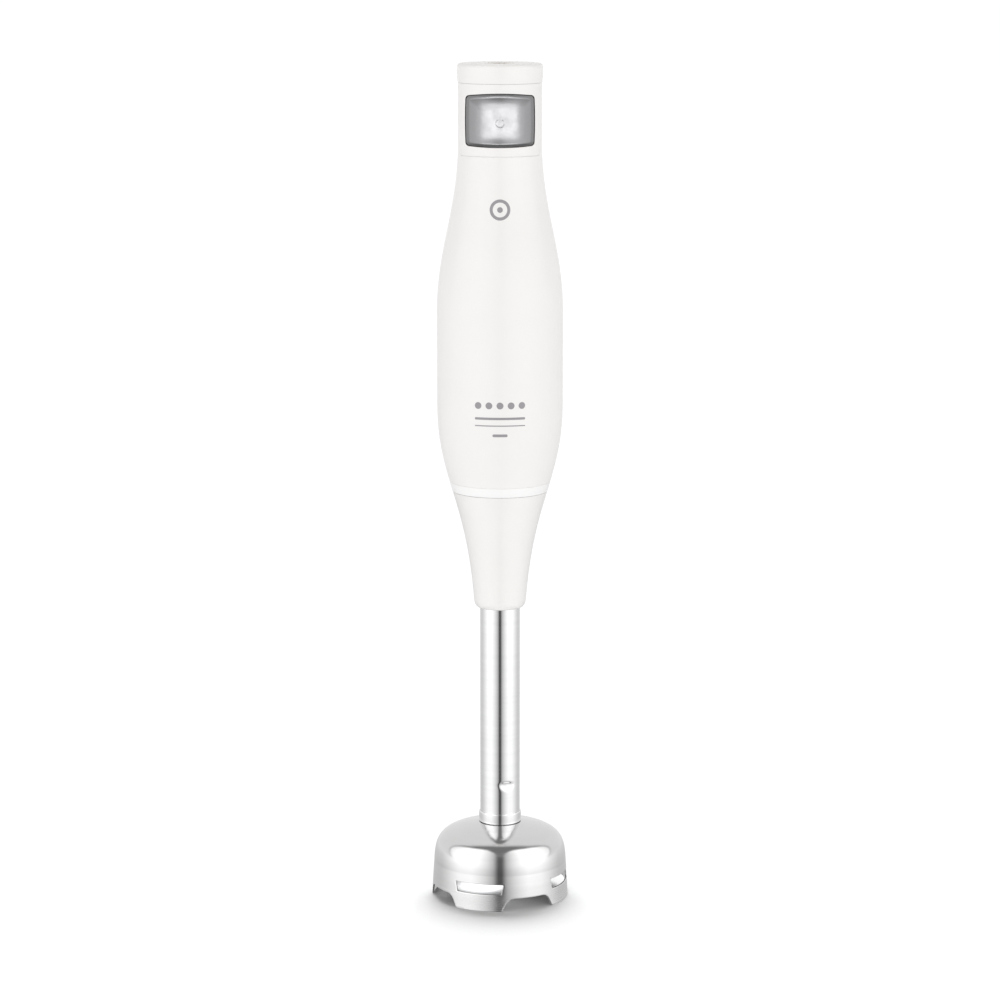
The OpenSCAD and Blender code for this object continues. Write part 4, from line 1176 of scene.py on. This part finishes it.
def make_foot_cone():
    """The foot's cone. Its lower lip is a quarter of an ellipse."""
    bore = TUBE_R + CAD_FIT
    low = WAIST_Z - 1.2 * MM
    top = JOINT_Z - 0.05 * MM
    lip_start, lip_h = bore + 0.2 * MM, 4.5 * MM
    lip_w = body_r(low + lip_h) - lip_start
    turns = np.linspace(-math.pi / 2, 0, 15)
    lip = [(lip_start + lip_w * math.cos(a), low + lip_h * (1 + math.sin(a))) for a in turns]
    outer = body_outline(low + lip_h + 1 * MM, top - 0.3 * MM)
    floor_z, rim_z = WAIST_Z + 4 * MM, top - 0.6 * MM
    rim = rounded([outer[-1] + (0,), (body_r(top), top, 0.22 * MM), (body_r(top) - SHELL_WALL, top, 0.2 * MM),
                   (body_r(rim_z) - SHELL_WALL, rim_z, 0)], closed=False)
    inner = body_outline(floor_z, rim_z, SHELL_WALL)[::-1]
    outline = [(bore, low)] + lip + outer[:-1] + rim + inner[1:] + [(bore, floor_z)]
    o = lathe("cone", outline)
    return piece(o, CONE_CREAM, "foot", "cream_plastic", "foot_cone")


def make_tube():
    """The tube, pressed in at one place to hold the bearing carrier."""
    low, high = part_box("shaft_tube")[0].z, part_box("shaft_tube")[1].z
    wall, edge = 0.9 * MM, 0.12 * MM
    angle0, z0 = math.radians(-69.5), 56 * MM
    wide, tall, deep = 3.1 * MM, 2.1 * MM, 0.6 * MM
    steeper, gentler = 1.5, 0.9             # the dimple's upper and lower edge
    reach = 5 * MM
    segments = 240
    levels = [low, low + 0.25 * MM]
    levels += [low + (z0 - reach - low) * k / 6 for k in range(1, 7)]
    levels += [z0 - reach + 0.25 * MM * k for k in range(1, 41)]
    levels += [z0 + reach + (high - z0 - reach) * k / 30 for k in range(1, 31)]

    def ring(r, z):
        """Vertices round the tube at height z, pushed in at the dimple and cut back at the tube's ends."""
        if z in (low, high):
            r += -edge if r == TUBE_R else edge
        row = []
        for k in range(segments):
            a = FULL_TURN * k / segments
            turn = (a - angle0 + math.pi) % FULL_TURN - math.pi
            lean = (z - z0) / tall * (steeper if z > z0 else gentler)
            here = r - deep * math.exp(-math.hypot(turn * TUBE_R / wide, lean) ** 3.4)
            row.append(bm.verts.new((here * math.cos(a), here * math.sin(a), z)))
        return row

    bm = bmesh.new()
    rows = [ring(TUBE_R, z) for z in levels] + [ring(TUBE_R - wall, z) for z in levels[::-1]]
    add_rows(bm, rows + rows[:1])
    o = to_object("steel_tube", bm)
    return piece(o, POLISHED, "foot", "polished_steel", "shaft_tube")


def make_collar():
    low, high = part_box("tube_collar")[0].z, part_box("tube_collar")[1].z
    r = TUBE_R + 0.6 * MM
    outline = rounded([
        (TUBE_R + CAD_FIT, low, 0),
        (r, low, 0.25 * MM),
        (r, high, 0.55 * MM),
        (TUBE_R + CAD_FIT, high, 0.05 * MM),
    ], steps=8)
    o = lathe("collar", outline, 160)
    return piece(o, POLISHED, "foot", "polished_steel", "tube_collar")


def bell_profile():
    """Points (r, z) of the bell's outside from the rim to the collar, with each point's length along it."""
    curve = [(BELL_R - 1 * MM, SKIRT_TOP), (BELL_R - 1.4 * MM, 31.2 * MM),
             (TUBE_R + 17.5 * MM, 32.9 * MM), (TUBE_R + 0.5 * MM, BELL_H)]
    points = [(BELL_R, 0.0), (BELL_R - 0.6 * MM, 12 * MM)]
    points += [bezier(curve, k / 60) for k in range(61)]
    lengths = [0.0]
    for a, b in zip(points, points[1:]):
        lengths.append(lengths[-1] + math.dist(a, b))
    return np.array(points), np.array(lengths)


BELL_POINTS, BELL_LENGTHS = bell_profile()


def bell_section(length):
    """(r, z, outward normal) of the bell at a length along its outline."""
    def at(s):
        return np.array([np.interp(s, BELL_LENGTHS, BELL_POINTS[:, k]) for k in range(2)])
    r, z = at(length)
    step = 0.6 * MM
    d = at(min(length + step, BELL_LENGTHS[-1])) - at(max(length - step, 0))
    d /= np.linalg.norm(d)
    return r, z, (d[1], -d[0])


def bell_point(angle, length, inset=0.0):
    """Point of the bell at an angle from +X, inset from its outside."""
    r, z, n = bell_section(length)
    r, z = r - inset * n[0], z - inset * n[1]
    return Vector((r * math.cos(angle), r * math.sin(angle), z))


def make_bell():
    """The skirt is a flat outline with its gaps and slots cut out, bent round; the dome is turned."""
    ref = 32 * MM                           # radius at which the flat outline is drawn
    step = FULL_TURN / TOOTH_COUNT
    first = TOOTH_ANGLE - step / 2          # middle of a gap
    segments = 288
    skirt_s = float(np.interp(SKIRT_TOP, BELL_POINTS[:, 1], BELL_LENGTHS))
    tip_gap, root_gap = (step - TOOTH_TIP) / 2, (step - TOOTH_ROOT) / 2
    bottom = [(0, GAP_H, 0)]
    slots = []
    for i in range(TOOTH_COUNT):
        a, b = i * step, (i + 1) * step
        bottom += [(ref * (a + root_gap), GAP_H, 3.2 * MM), (ref * (a + tip_gap), 0, 0.7 * MM)]
        bottom += [(ref * (b - tip_gap), 0, 0.7 * MM), (ref * (b - root_gap), GAP_H, 3.2 * MM)]
        mid = (a + b) / 2
        corners = ((-SLOT_LOW_SPAN, SLOT_LOW), (SLOT_LOW_SPAN, SLOT_LOW),
                   (SLOT_HIGH_SPAN, SLOT_HIGH), (-SLOT_HIGH_SPAN, SLOT_HIGH))
        slots.append(rounded([(ref * (mid + span / 2), s, 0.5 * MM) for span, s in corners], steps=4))
    bottom.append((ref * FULL_TURN, GAP_H, 0))
    top = [(ref * FULL_TURN * (1 - k / segments), skirt_s) for k in range(segments + 1)]
    outer = rounded(bottom, closed=False, steps=8) + top
    bm = bmesh.new()
    add_sheet(bm, outer, slots, 0.72 * MM, lambda u, s: bell_point(first + u / ref, s),
              lambda u, s: bell_point(first + u / ref, s, BELL_WALL))
    # the skirt's upper wall goes, because the dome carries on from there
    cut = [f for f in bm.faces if all(abs(skirt_s - length_of(v)) < 0.02 * MM for v in f.verts)]
    bmesh.ops.delete(bm, geom=cut, context="FACES_ONLY")
    levels = np.linspace(skirt_s, BELL_LENGTHS[-1], 41)
    rings = []
    for inset, order in ((0.0, levels), (BELL_WALL, levels[::-1])):
        for s in order:
            rings.append([bm.verts.new(bell_point(first + FULL_TURN * k / segments, s, inset))
                          for k in range(segments)])
    add_rows(bm, rings)
    join_close(bm)
    o = soften(to_object("steel_bell", bm), 0.16 * MM, segments=2, angle=60)
    return piece(o, BRUSHED, "foot", "brushed_sheet", "bell")


def length_of(v):
    """Length along the bell's outline of a vertex on either side of the sheet."""
    return float(np.interp(v.co.z, BELL_POINTS[:24, 1], BELL_LENGTHS[:24]))


# ---- Build ----

make_camera()
floor = make_floor()
make_world()
dress_cad_nodes()
make_front_shell()
make_rear_shell()
make_top_cap()
make_coupling_ring()
make_switch_panel()
make_button_lights([make_button(), make_power_symbol()])
make_print()
make_foot_cone()
make_tube()
make_collar()
make_floor_light(floor, make_bell())
make_slot_light(floor)
bpy.context.scene.view_settings.view_transform = "Standard"
